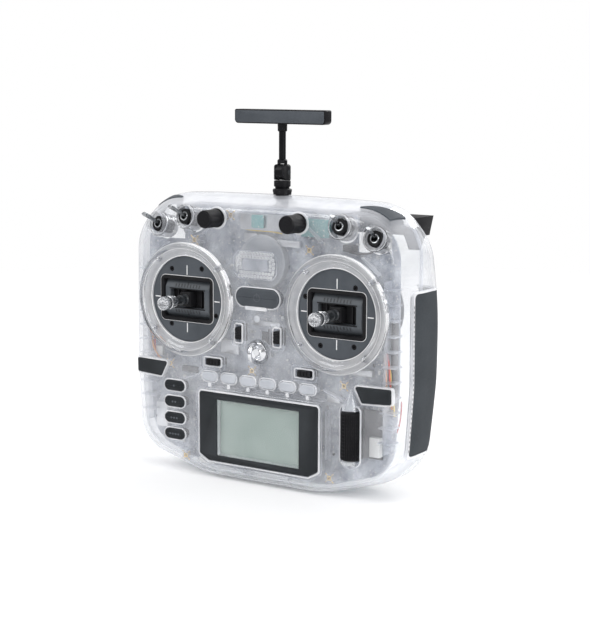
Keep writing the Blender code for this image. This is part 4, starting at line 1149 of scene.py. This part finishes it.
def key_cap(node, look, dome=0.25 * MM, outline=None, proud=0.8 * MM):
    """A key with a rounded edge and a slightly crowned top."""
    section = [(0.0, 5.0 * MM), (0.0, -proud + 0.45 * MM), (-0.08 * MM, -proud + 0.2 * MM),
               (-0.3 * MM, -proud + 0.02 * MM), (-0.8 * MM, -proud - 0.3 * dome),
               (-1.6 * MM, -proud - 0.8 * dome),
               (-2.3 * MM, -proud - dome)]
    piece(f"{node}_cap", moulding(outline or key_outline(node), section), look, node, [node], 50)


def rim_ring(name, outline, near=0.35 * MM, far=1.05 * MM, height=0.35 * MM, look=None):
    """A raised clear rim round an opening in the face."""
    section = [(near, 0.4 * MM), (near, -height * 0.7), (near + 0.15 * MM, -height),
               (far - 0.25 * MM, -height),
               (far, -0.02 * MM), (far, 0.4 * MM)]
    return piece(name, moulding(outline, section, ring=True), look or RIM)


def power_key():
    key_cap("power_button", SLATE)
    x, z = face_place("power_button")
    section = [(by * MM, depth * MM) for by,
               depth in ((0.0, -0.9), (0.0, -1.16), (0.35, -1.16), (0.35, -0.9))]
    symbol = moulding(circle(2.0 * MM, (x, z), 40), section, ring=True)
    block((0.36 * MM, 2.2 * MM, 0.3 * MM), at(x, z + 1.9 * MM, -1.05 * MM), form=symbol)
    piece("power_symbol", symbol, WINDOW_GREY, "power_button")
    rim_ring("power_rim", key_outline("power_button"), height=0.25 * MM)
    tab = moulding(rounded(15.5 * MM, 2.4 * MM, (x - 1.0 * MM, z - 6.6 * MM), 0.7 * MM),
                   [(0.0, 0.5 * MM), (0.0, -0.9 * MM), (-0.3 * MM, -1.2 * MM)])
    piece("power_notch_tab", tab, RIM)
    lamp = lathe(((2.1 * MM, -0.4 * MM), (2.1 * MM, 0.2 * MM), (1.8 * MM, 0.7 * MM), (1.2 * MM, 1.05 * MM),
                  (0.5 * MM, 1.2 * MM)),
                 at(x - 0.4 * MM, z - 13.0 * MM, 0.0), steps=32)
    piece("status_lamp", lamp, MILKY)


def menu_keys():
    """Four dark keys, each with its own row of raised squares."""
    for number, node in enumerate(MENUS):
        key_cap(node, DARK_SLATE)
        rim_ring(f"{node}_rim", key_outline(node))
        x, z = face_place(node)
        marks = bmesh.new()
        for spot in range(number + 1):
            place = at(x + (spot - number / 2) * 2.2 * MM, z, -1.03 * MM)
            block((1.2 * MM, 1.2 * MM, 0.16 * MM), place, form=marks, bevel=0.06 * MM)
        piece(f"{node}_marks", marks, SLATE, node)


def preset_keys():
    for node in PRESETS:
        key_cap(node, MILKY)
        rim_ring(f"{node}_rim", key_outline(node), far=0.95 * MM, height=0.5 * MM)
        x, z = face_place(node)
        stem = moulding(rounded(2.2 * MM, 2.6 * MM, (x, z - 5.2 * MM), 0.5 * MM, 3),
                        [(0.0, 0.4 * MM), (0.0, -0.3 * MM), (-0.25 * MM, -0.5 * MM)])
        piece(f"{node}_stem", stem, RIM)


def page_keys():
    for name, side in SIDES:
        node = f"page_button_{name}"
        outline = page_outline(side)
        section = [(0.0, 5.0 * MM), (0.0, -0.4 * MM), (-0.1 * MM, -0.65 * MM), (-0.4 * MM, -0.8 * MM)]
        key = carve(moulding(outline, section), [case_solid(-0.6 * MM)], "INTERSECT")
        piece(f"{node}_cap", key, DARK_SLATE, node, [node], 30)
        rim = moulding(outline,
                       [(0.35 * MM, 3.0 * MM), (0.35 * MM, -0.5 * MM), (1.2 * MM, -0.5 * MM),
                        (1.2 * MM, 3.0 * MM)],
                       ring=True)
        piece(f"{node}_rim", carve(rim, [case_solid(-0.3 * MM)], "INTERSECT"), RIM)


def trim_tabs():
    for node in TRIMS:
        x, z = face_place(node)
        upright = "vertical" in node
        size = extent(node)
        width, height = size.x, size.z
        section = [(0.0, 5.6 * MM), (0.0, -1.0 * MM), (-0.3 * MM, -1.3 * MM)]
        tab = moulding(rounded(width, height, (x, z), 0.4 * MM, 3), section)
        for spot in (-1, 0, 1):
            shift = spot * 2.3 * MM
            place = at(x + (0 if upright else shift), z + (shift if upright else 0), -1.45 * MM)
            bar = (width - 0.5 * MM, 1.1 * MM, 0.9 * MM) if upright else (1.1 * MM, height - 0.5 * MM,
                                                                          0.9 * MM)
            block(bar, place, form=tab, bevel=0.3 * MM)
        piece(f"{node}_tab", tab, BLACK, node, [node], 40)
        window = trim_window(node)
        rim_ring(f"{node}_frame", rounded(*window, (x, z), 0.8 * MM), 0.0, 0.9 * MM, 0.5 * MM)
        outer = rounded(window[0] + 4.6 * MM, window[1] + 4.2 * MM, (x, z), 1.6 * MM)
        rim_ring(f"{node}_tray", outer, 0.0, 0.5 * MM, 0.25 * MM, FROST)
        well = moulding(rounded(window[0] - 0.1 * MM, window[1] - 0.1 * MM, (x, z), 0.4 * MM, 3),
                        [(0.0, 6.4 * MM), (0.0, 5.9 * MM)])
        piece(f"{node}_well", well, DARK_SLATE)


def roller():
    """The knurled roller, with the pointed clear hood above it and the cup below."""
    low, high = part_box("scroll_roller")
    centre = Vector((ROLLER_X, middle("scroll_roller").y, 0.0))
    radius, shoulder = extent("scroll_roller").x / 2 + 0.4 * MM, 4.5 * MM
    bottom, top = low.z + shoulder, high.z - shoulder
    profile = [(1.5 * MM, low.z), (1.5 * MM, bottom), (radius - 0.7 * MM, bottom + 0.02 * MM),
               (radius - 0.1 * MM, bottom + 0.6 * MM)]
    ribbed = []
    rows = 13
    for row in range(rows):
        start = bottom + 0.8 * MM + row * (top - bottom - 1.6 * MM) / rows
        pitch = (top - bottom - 1.6 * MM) / rows
        ribbed += [len(profile), len(profile) + 1]
        profile += [(radius, start + 0.1 * pitch), (radius, start + 0.8 * pitch),
                    (radius - 0.25 * MM, start + 0.95 * pitch)]
    profile += [(radius - 0.1 * MM, top - 0.6 * MM), (radius - 0.7 * MM, top - 0.02 * MM), (1.5 * MM, top),
                (1.5 * MM, high.z)]
    shape = lathe(profile, centre, UP, 120, ribs=0.3 * MM, ribbed=ribbed)
    piece("scroll_roller_knurled", shape, BLACK, "scroll_roller", ["scroll_roller"], 30)
    refinish("roller_bracket", ALUMINIUM)
    hood = lathe(((5.6 * MM, top + 0.9 * MM), (5.7 * MM, top + 2.0 * MM), (5.0 * MM, top + 3.8 * MM),
                  (3.3 * MM, top + 7.6 * MM),
                  (1.5 * MM, top + 11.0 * MM), (0.5 * MM, top + 13.2 * MM)), centre, UP, 40)
    piece("roller_hood", hood, FROST)
    tip = lathe(((4.4 * MM, top + 1.2 * MM), (3.9 * MM, top + 3.4 * MM), (1.2 * MM, top + 10.0 * MM),
                 (0.4 * MM, top + 11.6 * MM)),
                centre, UP, 32)
    piece("roller_hood_core", tip, HOOD_GREY)
    cup = lathe(((5.6 * MM, bottom - 0.9 * MM), (5.5 * MM, bottom - 2.4 * MM), (4.6 * MM, bottom - 4.2 * MM),
                 (3.0 * MM, bottom - 5.6 * MM), (1.2 * MM, bottom - 6.2 * MM)), centre, UP, 40)
    piece("roller_cup", cup, FROST)
    outline = rounded(13.6 * MM, top - bottom + 7.0 * MM, (ROLLER_X, (top + bottom) / 2), 3.5 * MM)
    rim_ring("roller_rim", outline, 0.0, 0.7 * MM, 0.35 * MM)


def strap_hook():
    """A polished loop on a turned base, in a dished recess."""
    x, z = HOOK
    place = at(x, z, 0.0)
    base = lathe([(radius * MM, height * MM) for radius, height in (
        (6.2, -5.2), (6.2, -1.0), (5.9, -0.4), (5.2, -0.15), (3.2, -0.1), (2.6, 0.3), (2.2, 1.6))], place,
        steps=64)
    loops = []
    centre = at(x, z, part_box("strap_hook")[0].y - FACE_Y + 6.4 * MM)
    for step in range(64):
        turn = math.tau * step / 64
        out = Vector((0.0, math.cos(turn), math.sin(turn)))
        ring = [centre + out * (5.0 * MM + 1.4 * MM * math.cos(way)) + RIGHT * 1.4 * MM * math.sin(way)
                for way in (math.tau * side / 20 for side in range(20))]
        loops.append(ring)
    skin(loops, ring=True, form=base)
    piece("strap_hook_polished", base, CHROME, stands_for=["strap_hook"], crease=60)
    dish = [(radius * MM, height * MM) for radius, height in (
        (6.3, -4.0), (6.3, 0.1), (6.7, 0.55), (7.5, 0.55), (8.0, 0.1), (8.0, -0.4), (7.2, -4.0))]
    piece("strap_hook_seat", lathe(dish, place, steps=64, ring=True), GLASS)


def screen():
    width, height = SCREEN_SIZE
    outline = bezel_outline()
    section = [(0.0, 3.0 * MM), (0.0, -0.45 * MM), (-0.12 * MM, -0.7 * MM), (-0.4 * MM, -0.8 * MM)]
    window = rounded(width, height, SCREEN_MIDDLE, 0.5 * MM, 3)
    bezel = carve(moulding(outline, section), [slab(window, -5 * MM, 9 * MM)])
    piece("lcd_bezel_moulded", bezel, DARK_SLATE, stands_for=["lcd_bezel"], crease=30)
    refinish("lcd_panel", DISPLAY)
    step = moulding(rounded(width, height, SCREEN_MIDDLE, 0.5 * MM, 3),
                    [(-0.05 * MM, 2.4 * MM), (-0.05 * MM, 0.2 * MM), (-0.9 * MM, 1.9 * MM),
                     (-0.9 * MM, 2.4 * MM)], ring=True)
    piece("lcd_window_step", step, SHIELD)
    pane = moulding(rounded(width - 0.3 * MM, height - 0.3 * MM, SCREEN_MIDDLE, 0.5 * MM, 3),
                    [(0.0, 0.15 * MM), (0.0, -0.25 * MM)])
    piece("lcd_pane", pane,
          clear_plastic("lcd_pane", 0.02, 0.25, (0.80, 0.84, 0.82), (0.9, 0.93, 0.92), 0.01))
    rim_ring("lcd_rim", outline, 0.4 * MM, 1.5 * MM, 0.45 * MM)
    rim_ring("lcd_apron", offset(outline, 2.4 * MM), 0.0, 0.45 * MM, 0.2 * MM, FROST)


def speaker_grille():
    """Two staggered rows of sound holes round a plain centre, inside a fine raised border."""
    x, z = face_place("speaker")
    x, z = x - 0.4 * MM, z - 1.4 * MM
    spots = [((column + (0.5 if row in (-4.9, 7.1) else 0.0)) * 2.35, row)
             for row in (-7.1, -4.9, 4.9, 7.1) for column in range(-5, 6)]
    spots += [(side * across, up) for side in (-1, 1) for across, up in (
        (13.4, -3.4), (11.2, -2.2), (13.6, -1.0), (11.4, 0.2), (13.6, 1.5), (11.2, 2.6), (13.2, 3.8))]
    domes, holes = bmesh.new(), bmesh.new()
    for across, up in spots:
        spot = at(x + across * MM, z + up * MM, 0.0)
        lathe(((0.62 * MM, -0.1 * MM), (1.0 * MM, -0.1 * MM), (1.0 * MM, 0.16 * MM), (0.86 * MM, 0.30 * MM),
               (0.68 * MM, 0.30 * MM), (0.62 * MM, 0.15 * MM)), spot, steps=14, ring=True, form=domes)
        lathe(((0.62 * MM, 0.0), (0.62 * MM, 0.14 * MM)), spot, steps=12, form=holes)
    piece("speaker_domes", domes, RIM, crease=60)
    piece("speaker_holes", holes, HOOD_GREY)
    half = [(15.8, 4.6), (12.4, 8.4)]
    corners = [(-half[0][0], -half[0][1]), (-half[1][0], -half[1][1]), (half[1][0], -half[1][1]),
               (half[0][0], -half[0][1]), half[0], half[1], (-half[1][0], half[1][1]),
               (-half[0][0], half[0][1])]
    border = softened([(x + across * MM, z + up * MM) for across, up in corners], 1.6 * MM)
    rim_ring("speaker_border", border, 0.0, 0.45 * MM, 0.25 * MM, FROST)
    pane = moulding(rounded(19 * MM, 7.2 * MM, (x, z), 1.2 * MM),
                    [(0.0, 0.3 * MM), (0.0, -0.06 * MM), (-0.3 * MM, -0.12 * MM)])
    piece("speaker_middle", pane, FROST)
    refinish("speaker", MID_GREY)


def antenna():
    """The folding T antenna: base ring, swivelling knuckle with a tongue, and a mast with two ears."""
    refinish("antenna_base", BLACK)
    base, fold = middle("antenna_base"), Vector(JOINTS["antenna_fold"]["pos_m"])
    base_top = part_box("antenna_base")[1].z
    knuckle_top = fold.z - 5.3 * MM
    foot = Vector((base.x, base.y, 0.0))
    ring = lathe(((5.9 * MM, base_top - 2.2 * MM), (6.0 * MM, base_top - 0.6 * MM),
                  (5.6 * MM, base_top - 0.1 * MM),
                  (5.2 * MM, base_top - 0.1 * MM), (5.2 * MM, base_top - 2.2 * MM)), foot, UP, 56, ring=True)
    piece("antenna_base_ring", ring, BLACK, crease=40)
    knuckle = lathe(((4.5 * MM, base_top + 0.2 * MM), (4.5 * MM, base_top + 1.1 * MM),
                     (5.2 * MM, base_top + 1.5 * MM),
                     (5.2 * MM, knuckle_top - 0.2 * MM), (5.0 * MM, knuckle_top)), foot, UP, 56)
    piece("antenna_knuckle_turned", knuckle, BLACK, "antenna_knuckle", ["antenna_knuckle"],
          40)

    def column(low, high):
        return lathe(((5.2 * MM, low), (5.2 * MM, high)), foot, UP, 56)

    tongue = lathe(((4.9 * MM, -2.3 * MM), (4.9 * MM, 2.3 * MM)), fold, RIGHT, 48)
    block((4.6 * MM, 6.0 * MM, 4.0 * MM), fold + 3.4 * MM * -UP, UP, form=tongue)
    tongue = carve(tongue, [column(knuckle_top - 1 * MM, fold.z + 6 * MM)], "INTERSECT")
    piece("antenna_tongue", tongue, BLACK, "antenna_knuckle", crease=30)

    slot = block((5.0 * MM, 14 * MM, 10.6 * MM), fold, UP)
    ears = carve(column(fold.z - 6 * MM, fold.z + 0.01 * MM),
                 [lathe(((5.1 * MM, -6 * MM), (5.1 * MM, 6 * MM)), fold, RIGHT, 64)], "INTERSECT")
    piece("antenna_ears", carve(ears, [slot]), BLACK, "antenna_mast", crease=30)
    bar_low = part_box("antenna_bar")[0].z
    profile = [(5.2, 0.0), (5.2, 3.4), (4.9, 4.2), (4.2, 4.7), (3.1, 4.8), (3.1, 7.2), (2.6, 7.8),
               (2.15, 8.0)]
    profile = [(radius * MM, fold.z + height * MM) for radius, height in profile]
    profile += [(2.15 * MM, bar_low - 5.4 * MM), (2.9 * MM, bar_low - 4.9 * MM),
                (3.0 * MM, bar_low - 0.8 * MM),
                (3.6 * MM, bar_low + 0.6 * MM)]
    slot = block((5.0 * MM, 14 * MM, 10.6 * MM), fold, UP)
    mast = carve(lathe(profile, foot, UP, 56), [slot])
    piece("antenna_mast_turned", mast, BLACK, "antenna_mast", ["antenna_mast"], 35)
    pin = lathe(((1.6 * MM, -5.25 * MM), (1.6 * MM, 5.25 * MM)), fold, RIGHT, 28)
    piece("antenna_hinge_pin", pin, DARK_SLATE, "antenna_mast")

    size, centre = extent("antenna_bar"), middle("antenna_bar")
    wide, tall = size.x * 1.03, size.z + 1.2 * MM
    corners = [(-wide / 2, -tall / 2), (wide / 2, -tall / 2), (wide / 2, tall / 2), (-wide / 2, tall / 2)]
    shape = [softened(corners, 2.4 * MM, 6)[index] for index in range(14)]
    shape += rounded(wide, tall, radius=1.0 * MM, segments=6)[7:21]
    depth = centre.y - FACE_Y
    shape = [(centre.x + x, centre.z + z) for x, z in shape]
    half = size.y / 2
    bar = moulding(shape,
                   [(-0.9 * MM, depth + half), (-0.25 * MM, depth + half - 0.2 * MM),
                    (0.0, depth + half - 0.8 * MM),
                           (0.0, depth - half + 0.6 * MM), (-0.25 * MM, depth - half + 0.1 * MM),
                           (-0.7 * MM, depth - half)])
    piece("antenna_bar_moulded", bar, BLACK, "antenna_mast", ["antenna_bar"], 40)
    panel = moulding(shape, [(-0.75 * MM, depth - half + 0.3 * MM), (-0.75 * MM, depth - half - 0.12 * MM),
                             (-0.95 * MM, depth - half - 0.2 * MM)])
    piece("antenna_bar_panel", panel, SLATE, "antenna_mast", crease=30)


# Inside the case

INSERTS = ((-50, 151), (-22, 168), (36, 150), (-6, 72), (-70, 70), (61, 70), (-58, 11), (51, 12))


def inner_board():
    """The silver carrier board behind the face, cut round the gimbals."""
    half = inset_outline(outline_at(SEAM / 2), 5.0 * MM)
    whole = [(point.x, point.y) for point in half] + [(-point.x, point.y) for point in half[-2:0:-1]]
    cutters = []
    for name, _ in SIDES:
        centre = GIMBALS[name]
        cutters.append(slab(circle(29 * MM, (centre.x, centre.z), 64), 0.0, 30 * MM))
    for name in TOGGLES:
        place, bushing, _ = toggle_frame(name)
        cutters.append(drilled(8.2 * MM, place, bushing))
    cutters += [shoulder_column(side, 1.5 * MM) for _, side in SIDES]
    board = carve(slab(whole, 11.6 * MM, 12.9 * MM), cutters)
    piece("carrier_board", board, SILVER_BOARD)
    refinish("main_board", TEAL_BOARD)
    refinish("rf_module", SHIELD)
    refinish("battery_pack", WRAP)
    boards = slab(rounded(20 * MM, 11 * MM, (37 * MM, 163 * MM), 1 * MM), 7.0 * MM, 8.2 * MM)
    slab(rounded(9 * MM, 8 * MM, (-3 * MM, 165 * MM), 1 * MM), 4.2 * MM, 5.2 * MM, boards)
    piece("switch_boards", boards, TEAL_BOARD)


def components():
    """Chips, shield cans, connectors and small parts on the carrier board."""
    random.seed(7)
    chips, cans, nylon = bmesh.new(), bmesh.new(), bmesh.new()
    for x, z, width, height, thick, form in (
            (-28, 84, 14, 9, 2.2, cans), (28, 90, 11, 9, 2.4, cans), (0, 92, 8, 8, 1.4, chips),
            (-86, 98, 4, 22, 3, cans),
            (86, 88, 4, 20, 3, chips), (80, 34, 7, 12, 5, nylon), (84, 50, 5, 7, 4, chips),
            (-82, 34, 9, 16, 3, cans),
            (-60, 66, 12, 4, 2, chips), (50, 60, 9, 5, 3, cans), (0, 5, 34, 3, 2.5, cans),
            (-46, 8, 12, 4, 3, nylon),
            (10, 152, 30, 4, 3, cans), (-12, 154, 10, 6, 2, cans), (70, 78, 14, 4, 3, cans),
            (-84, 76, 6, 6, 3, nylon),
            (76, 41, 15, 30, 1.6, chips), (89, 88, 8, 44, 1.2, chips), (0, 101, 20, 3, 2, cans),
            (88, 66, 4, 8, 4, nylon), (-38, 168, 16, 3, 3, cans), (60, 152, 9, 4, 3, chips)):
        place = at(x * MM, z * MM, (11.6 - thick / 2) * MM)
        block((width * MM, height * MM, thick * MM), place, form=form, bevel=0.4 * MM)
    for _ in range(130):
        x, z = random.uniform(-86, 86), random.uniform(8, 166)
        near_gimbal = any(math.hypot(x * MM - spot.x, z * MM - spot.z) < 31 * MM for spot in GIMBALS.values())
        if near_gimbal or abs(x) > 88 - 0.0016 * (z - 90) ** 2:
            continue
        form = random.choice((chips, cans, nylon, cans))
        size = (random.uniform(0.8, 2.6) * MM, random.uniform(0.8, 2.6) * MM, random.uniform(0.5, 1.4) * MM)
        block(size, at(x * MM, z * MM, 11.3 * MM), form=form)
    piece("board_chips", chips, CHIP)
    piece("board_shields", cans, SHIELD)
    piece("board_connectors", nylon, PARTS_WHITE)


def inserts():
    """Brass screw inserts on clear posts, each with four short fins."""
    posts, brass = bmesh.new(), bmesh.new()
    for x, z in INSERTS:
        place = at(x * MM, z * MM, 0.0)
        lathe(((3.2 * MM, -11.4 * MM), (2.9 * MM, -2.3 * MM), (1.6 * MM, -2.3 * MM), (1.6 * MM, -11.4 * MM)),
              place, steps=32, ring=True, form=posts)
        lathe(((1.5 * MM, -6.0 * MM), (1.5 * MM, -2.5 * MM), (0.8 * MM, -2.5 * MM), (0.8 * MM, -6.0 * MM)),
              place, steps=24, ring=True, form=brass)
        for number in range(4):
            turn = math.radians(45 + 90 * number)
            out = Vector((math.cos(turn), 0.0, math.sin(turn)))
            block((2.6 * MM, 0.35 * MM, 0.8 * MM), place + out * 2.7 * MM + BACKWARD * 2.8 * MM, FORWARD,
                  45 + 90 * number, brass)
    piece("screw_posts", posts, FROST)
    piece("screw_inserts", brass, GOLD)


def ribs():
    """Clear stiffening ribs: ladders inside the side walls, and diagonals and ledges behind the face."""
    form = bmesh.new()
    for _, side in SIDES:
        for number in range(11):
            z = (38 + 9.2 * number) * MM
            block((9.5 * MM, 1.1 * MM, 9 * MM), at(side * (case_x(10 * MM, z) - 7.2 * MM), z, 7.6 * MM),
                  form=form,
                  bevel=0.2 * MM)
        block((1.2 * MM, 104 * MM, 11 * MM), at(side * 88.2 * MM, 83 * MM, 8.4 * MM), form=form,
              bevel=0.2 * MM)
        for start, end in (((66, 66), (46, 59)), ((70, 64), (50, 57)), ((44, 172), (24, 155)),
                           ((84, 148), (72, 138))):
            first, last = Vector((side * start[0], start[1])) * MM, Vector((side * end[0], end[1])) * MM
            run, mid = last - first, (first + last) / 2
            block((run.length, 0.9 * MM, 4 * MM), at(mid.x, mid.y, 4.3 * MM), FORWARD,
                  -math.degrees(math.atan2(run.y, run.x)), form, 0.2 * MM)
        block((1.0 * MM, 30 * MM, 5 * MM), at(side * 48.5 * MM, 38 * MM, 4.8 * MM), form=form, bevel=0.2 * MM)
    block((92 * MM, 1.0 * MM, 6 * MM), at(0.0, 58.8 * MM, 5.2 * MM), form=form, bevel=0.2 * MM)
    block((120 * MM, 1.0 * MM, 5 * MM), at(0.0, 173.5 * MM, 12 * MM), form=form, bevel=0.2 * MM)
    piece("shell_ribs", form, FROST)


def wires():
    """Short runs of hook-up wire between the boards, clipped inside the case."""
    routes = (
        (0, 0.55, ((87, 92, 8), (90, 84, 7), (89, 76, 7), (91, 68, 8), (88, 60, 10))),
        (1, 0.55, ((85, 90, 9), (88, 82, 7), (87, 74, 6), (89, 66, 8), (90, 58, 10))),
        (2, 0.55, ((86, 88, 10), (91, 80, 8), (88, 72, 8), (92, 64, 9), (91, 54, 11))),
        (0, 0.5, ((93, 62, 16), (94, 54, 14), (93, 46, 15), (90, 40, 12))),
        (1, 0.5, ((-86, 92, 8), (-89, 84, 7), (-86, 76, 6), (-83, 72, 8), (-80, 68, 10))),
        (0, 0.5, ((-84, 94, 9), (-87, 86, 7), (-88, 78, 8), (-85, 70, 10))),
        (3, 0.6, ((60, 150, 9), (70, 148, 10), (78, 150, 11), (80, 156, 11))),
        (2, 0.5, ((-18, 160, 9), (-8, 158, 8), (2, 160, 8), (12, 158, 9))),
        (3, 0.7, ((-2, 172, 14), (-1, 174, 20), (0, 175, 25), (0, 176, 27))),
    )
    for number, (look, radius, points) in enumerate(routes):
        line = bpy.data.curves.new(f"wire_{number}", "CURVE")
        line.dimensions = "3D"
        line.bevel_depth = radius * MM
        line.bevel_resolution = 3
        line.use_fill_caps = True
        spline = line.splines.new("NURBS")
        spline.points.add(len(points) - 1)
        spline.order_u = 4
        spline.use_endpoint_u = True
        for point, (x, z, depth) in zip(spline.points, points):
            point.co = (*at(x * MM, z * MM, depth * MM), 1.0)
        thing = bpy.data.objects.new(f"wire_{number}", line)
        bpy.context.scene.collection.objects.link(thing)
        line.materials.append(WIRE_LOOKS[look])
        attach(thing, "case")


# Floor, light and camera


FLOOR_RADIUS = 1.6
FLOOR_DROP = 0.2 * MM
LAMP_AIM = (0.0, 0.0, 0.1)
ROOM_STRENGTH = 0.84


def stage():
    """A pale floor that fades out into the white room well away from the object."""
    floor = bmesh.new()
    bmesh.ops.create_circle(floor, cap_ends=True, segments=96, radius=FLOOR_RADIUS)
    look = Look("pale_floor")
    haze = look.noise(0.4, 2.0)
    look.put(look.shader.inputs["Base Color"],
             look.blend(look.span(haze, 0.0, 1.0), (0.90, 0.90, 0.90), (0.93, 0.93, 0.93)))
    look.put(look.shader.inputs["Roughness"], look.span(haze, 0.80, 0.90))
    look.put(look.shader.inputs["Specular IOR Level"], 0.1)
    reach = look.add("ShaderNodeVectorMath", {"operation": "LENGTH"}, _0=look.place).outputs["Value"]
    gone = look.add("ShaderNodeBsdfTransparent", Color=rgb(1.0, 1.0, 1.0))
    fade = look.add("ShaderNodeMixShader", _0=look.span(reach, 0.0, 1.0, 0.30, 1.1),
                    _1=look.shader.outputs[0],
                    _2=gone.outputs[0])
    look.put(look.output.inputs["Surface"], fade.outputs[0])
    mesh = bpy.data.meshes.new("floor")
    floor.to_mesh(mesh)
    floor.free()
    made = bpy.data.objects.new("floor", mesh)
    made.location.z = -FLOOR_DROP
    bpy.context.scene.collection.objects.link(made)
    mesh.materials.append(look.material)


def lamp(name, place, size, power):
    light = bpy.data.lights.new(name, "AREA")
    light.shape = "RECTANGLE"
    light.size, light.size_y = size
    light.energy = power
    made = bpy.data.objects.new(name, light)
    made.location = place
    made.rotation_euler = (Vector(LAMP_AIM) - Vector(place)).to_track_quat("-Z", "Y").to_euler()
    bpy.context.scene.collection.objects.link(made)


def world():
    """White to the camera; for light and reflections a white studio with darker walls low down and behind."""
    made = bpy.data.worlds.new("studio")
    bpy.context.scene.world = made
    made.use_nodes = True
    nodes, links = made.node_tree.nodes, made.node_tree.links
    output, room = nodes["World Output"], nodes["Background"]
    place = nodes.new("ShaderNodeTexCoord")
    split = nodes.new("ShaderNodeSeparateXYZ")
    links.new(place.outputs["Generated"], split.inputs[0])
    ramp = nodes.new("ShaderNodeValToRGB")
    stops = ramp.color_ramp.elements
    stops[0].position, stops[0].color = 0.0, (0.85, 0.86, 0.88, 1.0)
    stops[1].position, stops[1].color = 1.0, (1.0, 1.0, 1.0, 1.0)
    for position, value in ((0.40, 0.80), (0.455, 0.30), (0.50, 0.35), (0.56, 1.08), (0.80, 0.96)):
        stops.new(position).color = (value, value, value * 1.02, 1.0)
    height = nodes.new("ShaderNodeMapRange")
    height.inputs["From Min"].default_value = -1.0
    links.new(split.outputs["Z"], height.inputs["Value"])
    links.new(height.outputs[0], ramp.inputs[0])
    links.new(ramp.outputs[0], room.inputs["Color"])
    room.inputs["Strength"].default_value = ROOM_STRENGTH
    backdrop = nodes.new("ShaderNodeBackground")
    backdrop.inputs["Color"].default_value = (1.0, 1.0, 1.0, 1.0)
    seen = nodes.new("ShaderNodeLightPath")
    choose = nodes.new("ShaderNodeMixShader")
    links.new(seen.outputs["Is Camera Ray"], choose.inputs[0])
    links.new(room.outputs[0], choose.inputs[1])
    links.new(backdrop.outputs[0], choose.inputs[2])
    links.new(choose.outputs[0], output.inputs["Surface"])


AZIMUTH, ELEVATION, ROLL, DISTANCE, LENS = 33.31, 8.77, 0.21, 0.9258, 89.22
AIM = Vector((0.0275, FACE_Y, 0.1138))


def camera():
    eye = bpy.data.cameras.new("camera")
    eye.lens, eye.sensor_width = LENS, 36.0
    eye.clip_start, eye.clip_end = 0.01, 50.0
    made = bpy.data.objects.new("camera", eye)
    around, above = math.radians(AZIMUTH), math.radians(ELEVATION)
    way = Vector((math.sin(around) * math.cos(above), -math.cos(around) * math.cos(above), math.sin(above)))
    made.location = AIM + way * DISTANCE
    aim = (-way).to_track_quat("-Z", "Y").to_matrix().to_4x4()
    made.rotation_euler = (aim @ Matrix.Rotation(math.radians(ROLL), 4, "Z")).to_euler()
    bpy.context.scene.collection.objects.link(made)
    bpy.context.scene.camera = made


front_shell()
rear_shell()
lid("battery_door", 6, 28 * MM)
lid("module_bay_cover", 4, 18 * MM)
parting_gasket()
rear_handle()
case_screws()
for side_name, side_sign in SIDES:
    side_grip(side_name, side_sign)
    shoulder_button(side_name, side_sign)
    surround(side_name)
    gimbal_plate(side_name, side_sign)
    gimbal_yoke(side_name)
    stick(side_name)
    gimbal_housing(side_name)
    knob(side_name)
for toggle_name in TOGGLES:
    toggle(toggle_name)
power_key()
menu_keys()
preset_keys()
page_keys()
trim_tabs()
roller()
strap_hook()
screen()
speaker_grille()
antenna()
inner_board()
components()
inserts()
ribs()
wires()

stage()
world()
lamp("key_light", (-0.9, -1.3, 1.5), (1.0, 1.0), 15.0)
lamp("fill_light", (1.6, -0.5, 0.8), (0.9, 1.2), 15.0)
lamp("rim_light", (0.4, 1.5, 1.3), (1.4, 0.8), 16.0)
camera()
bpy.context.scene.view_settings.view_transform = "Standard"
bpy.context.scene.cycles.transparent_max_bounces = 24
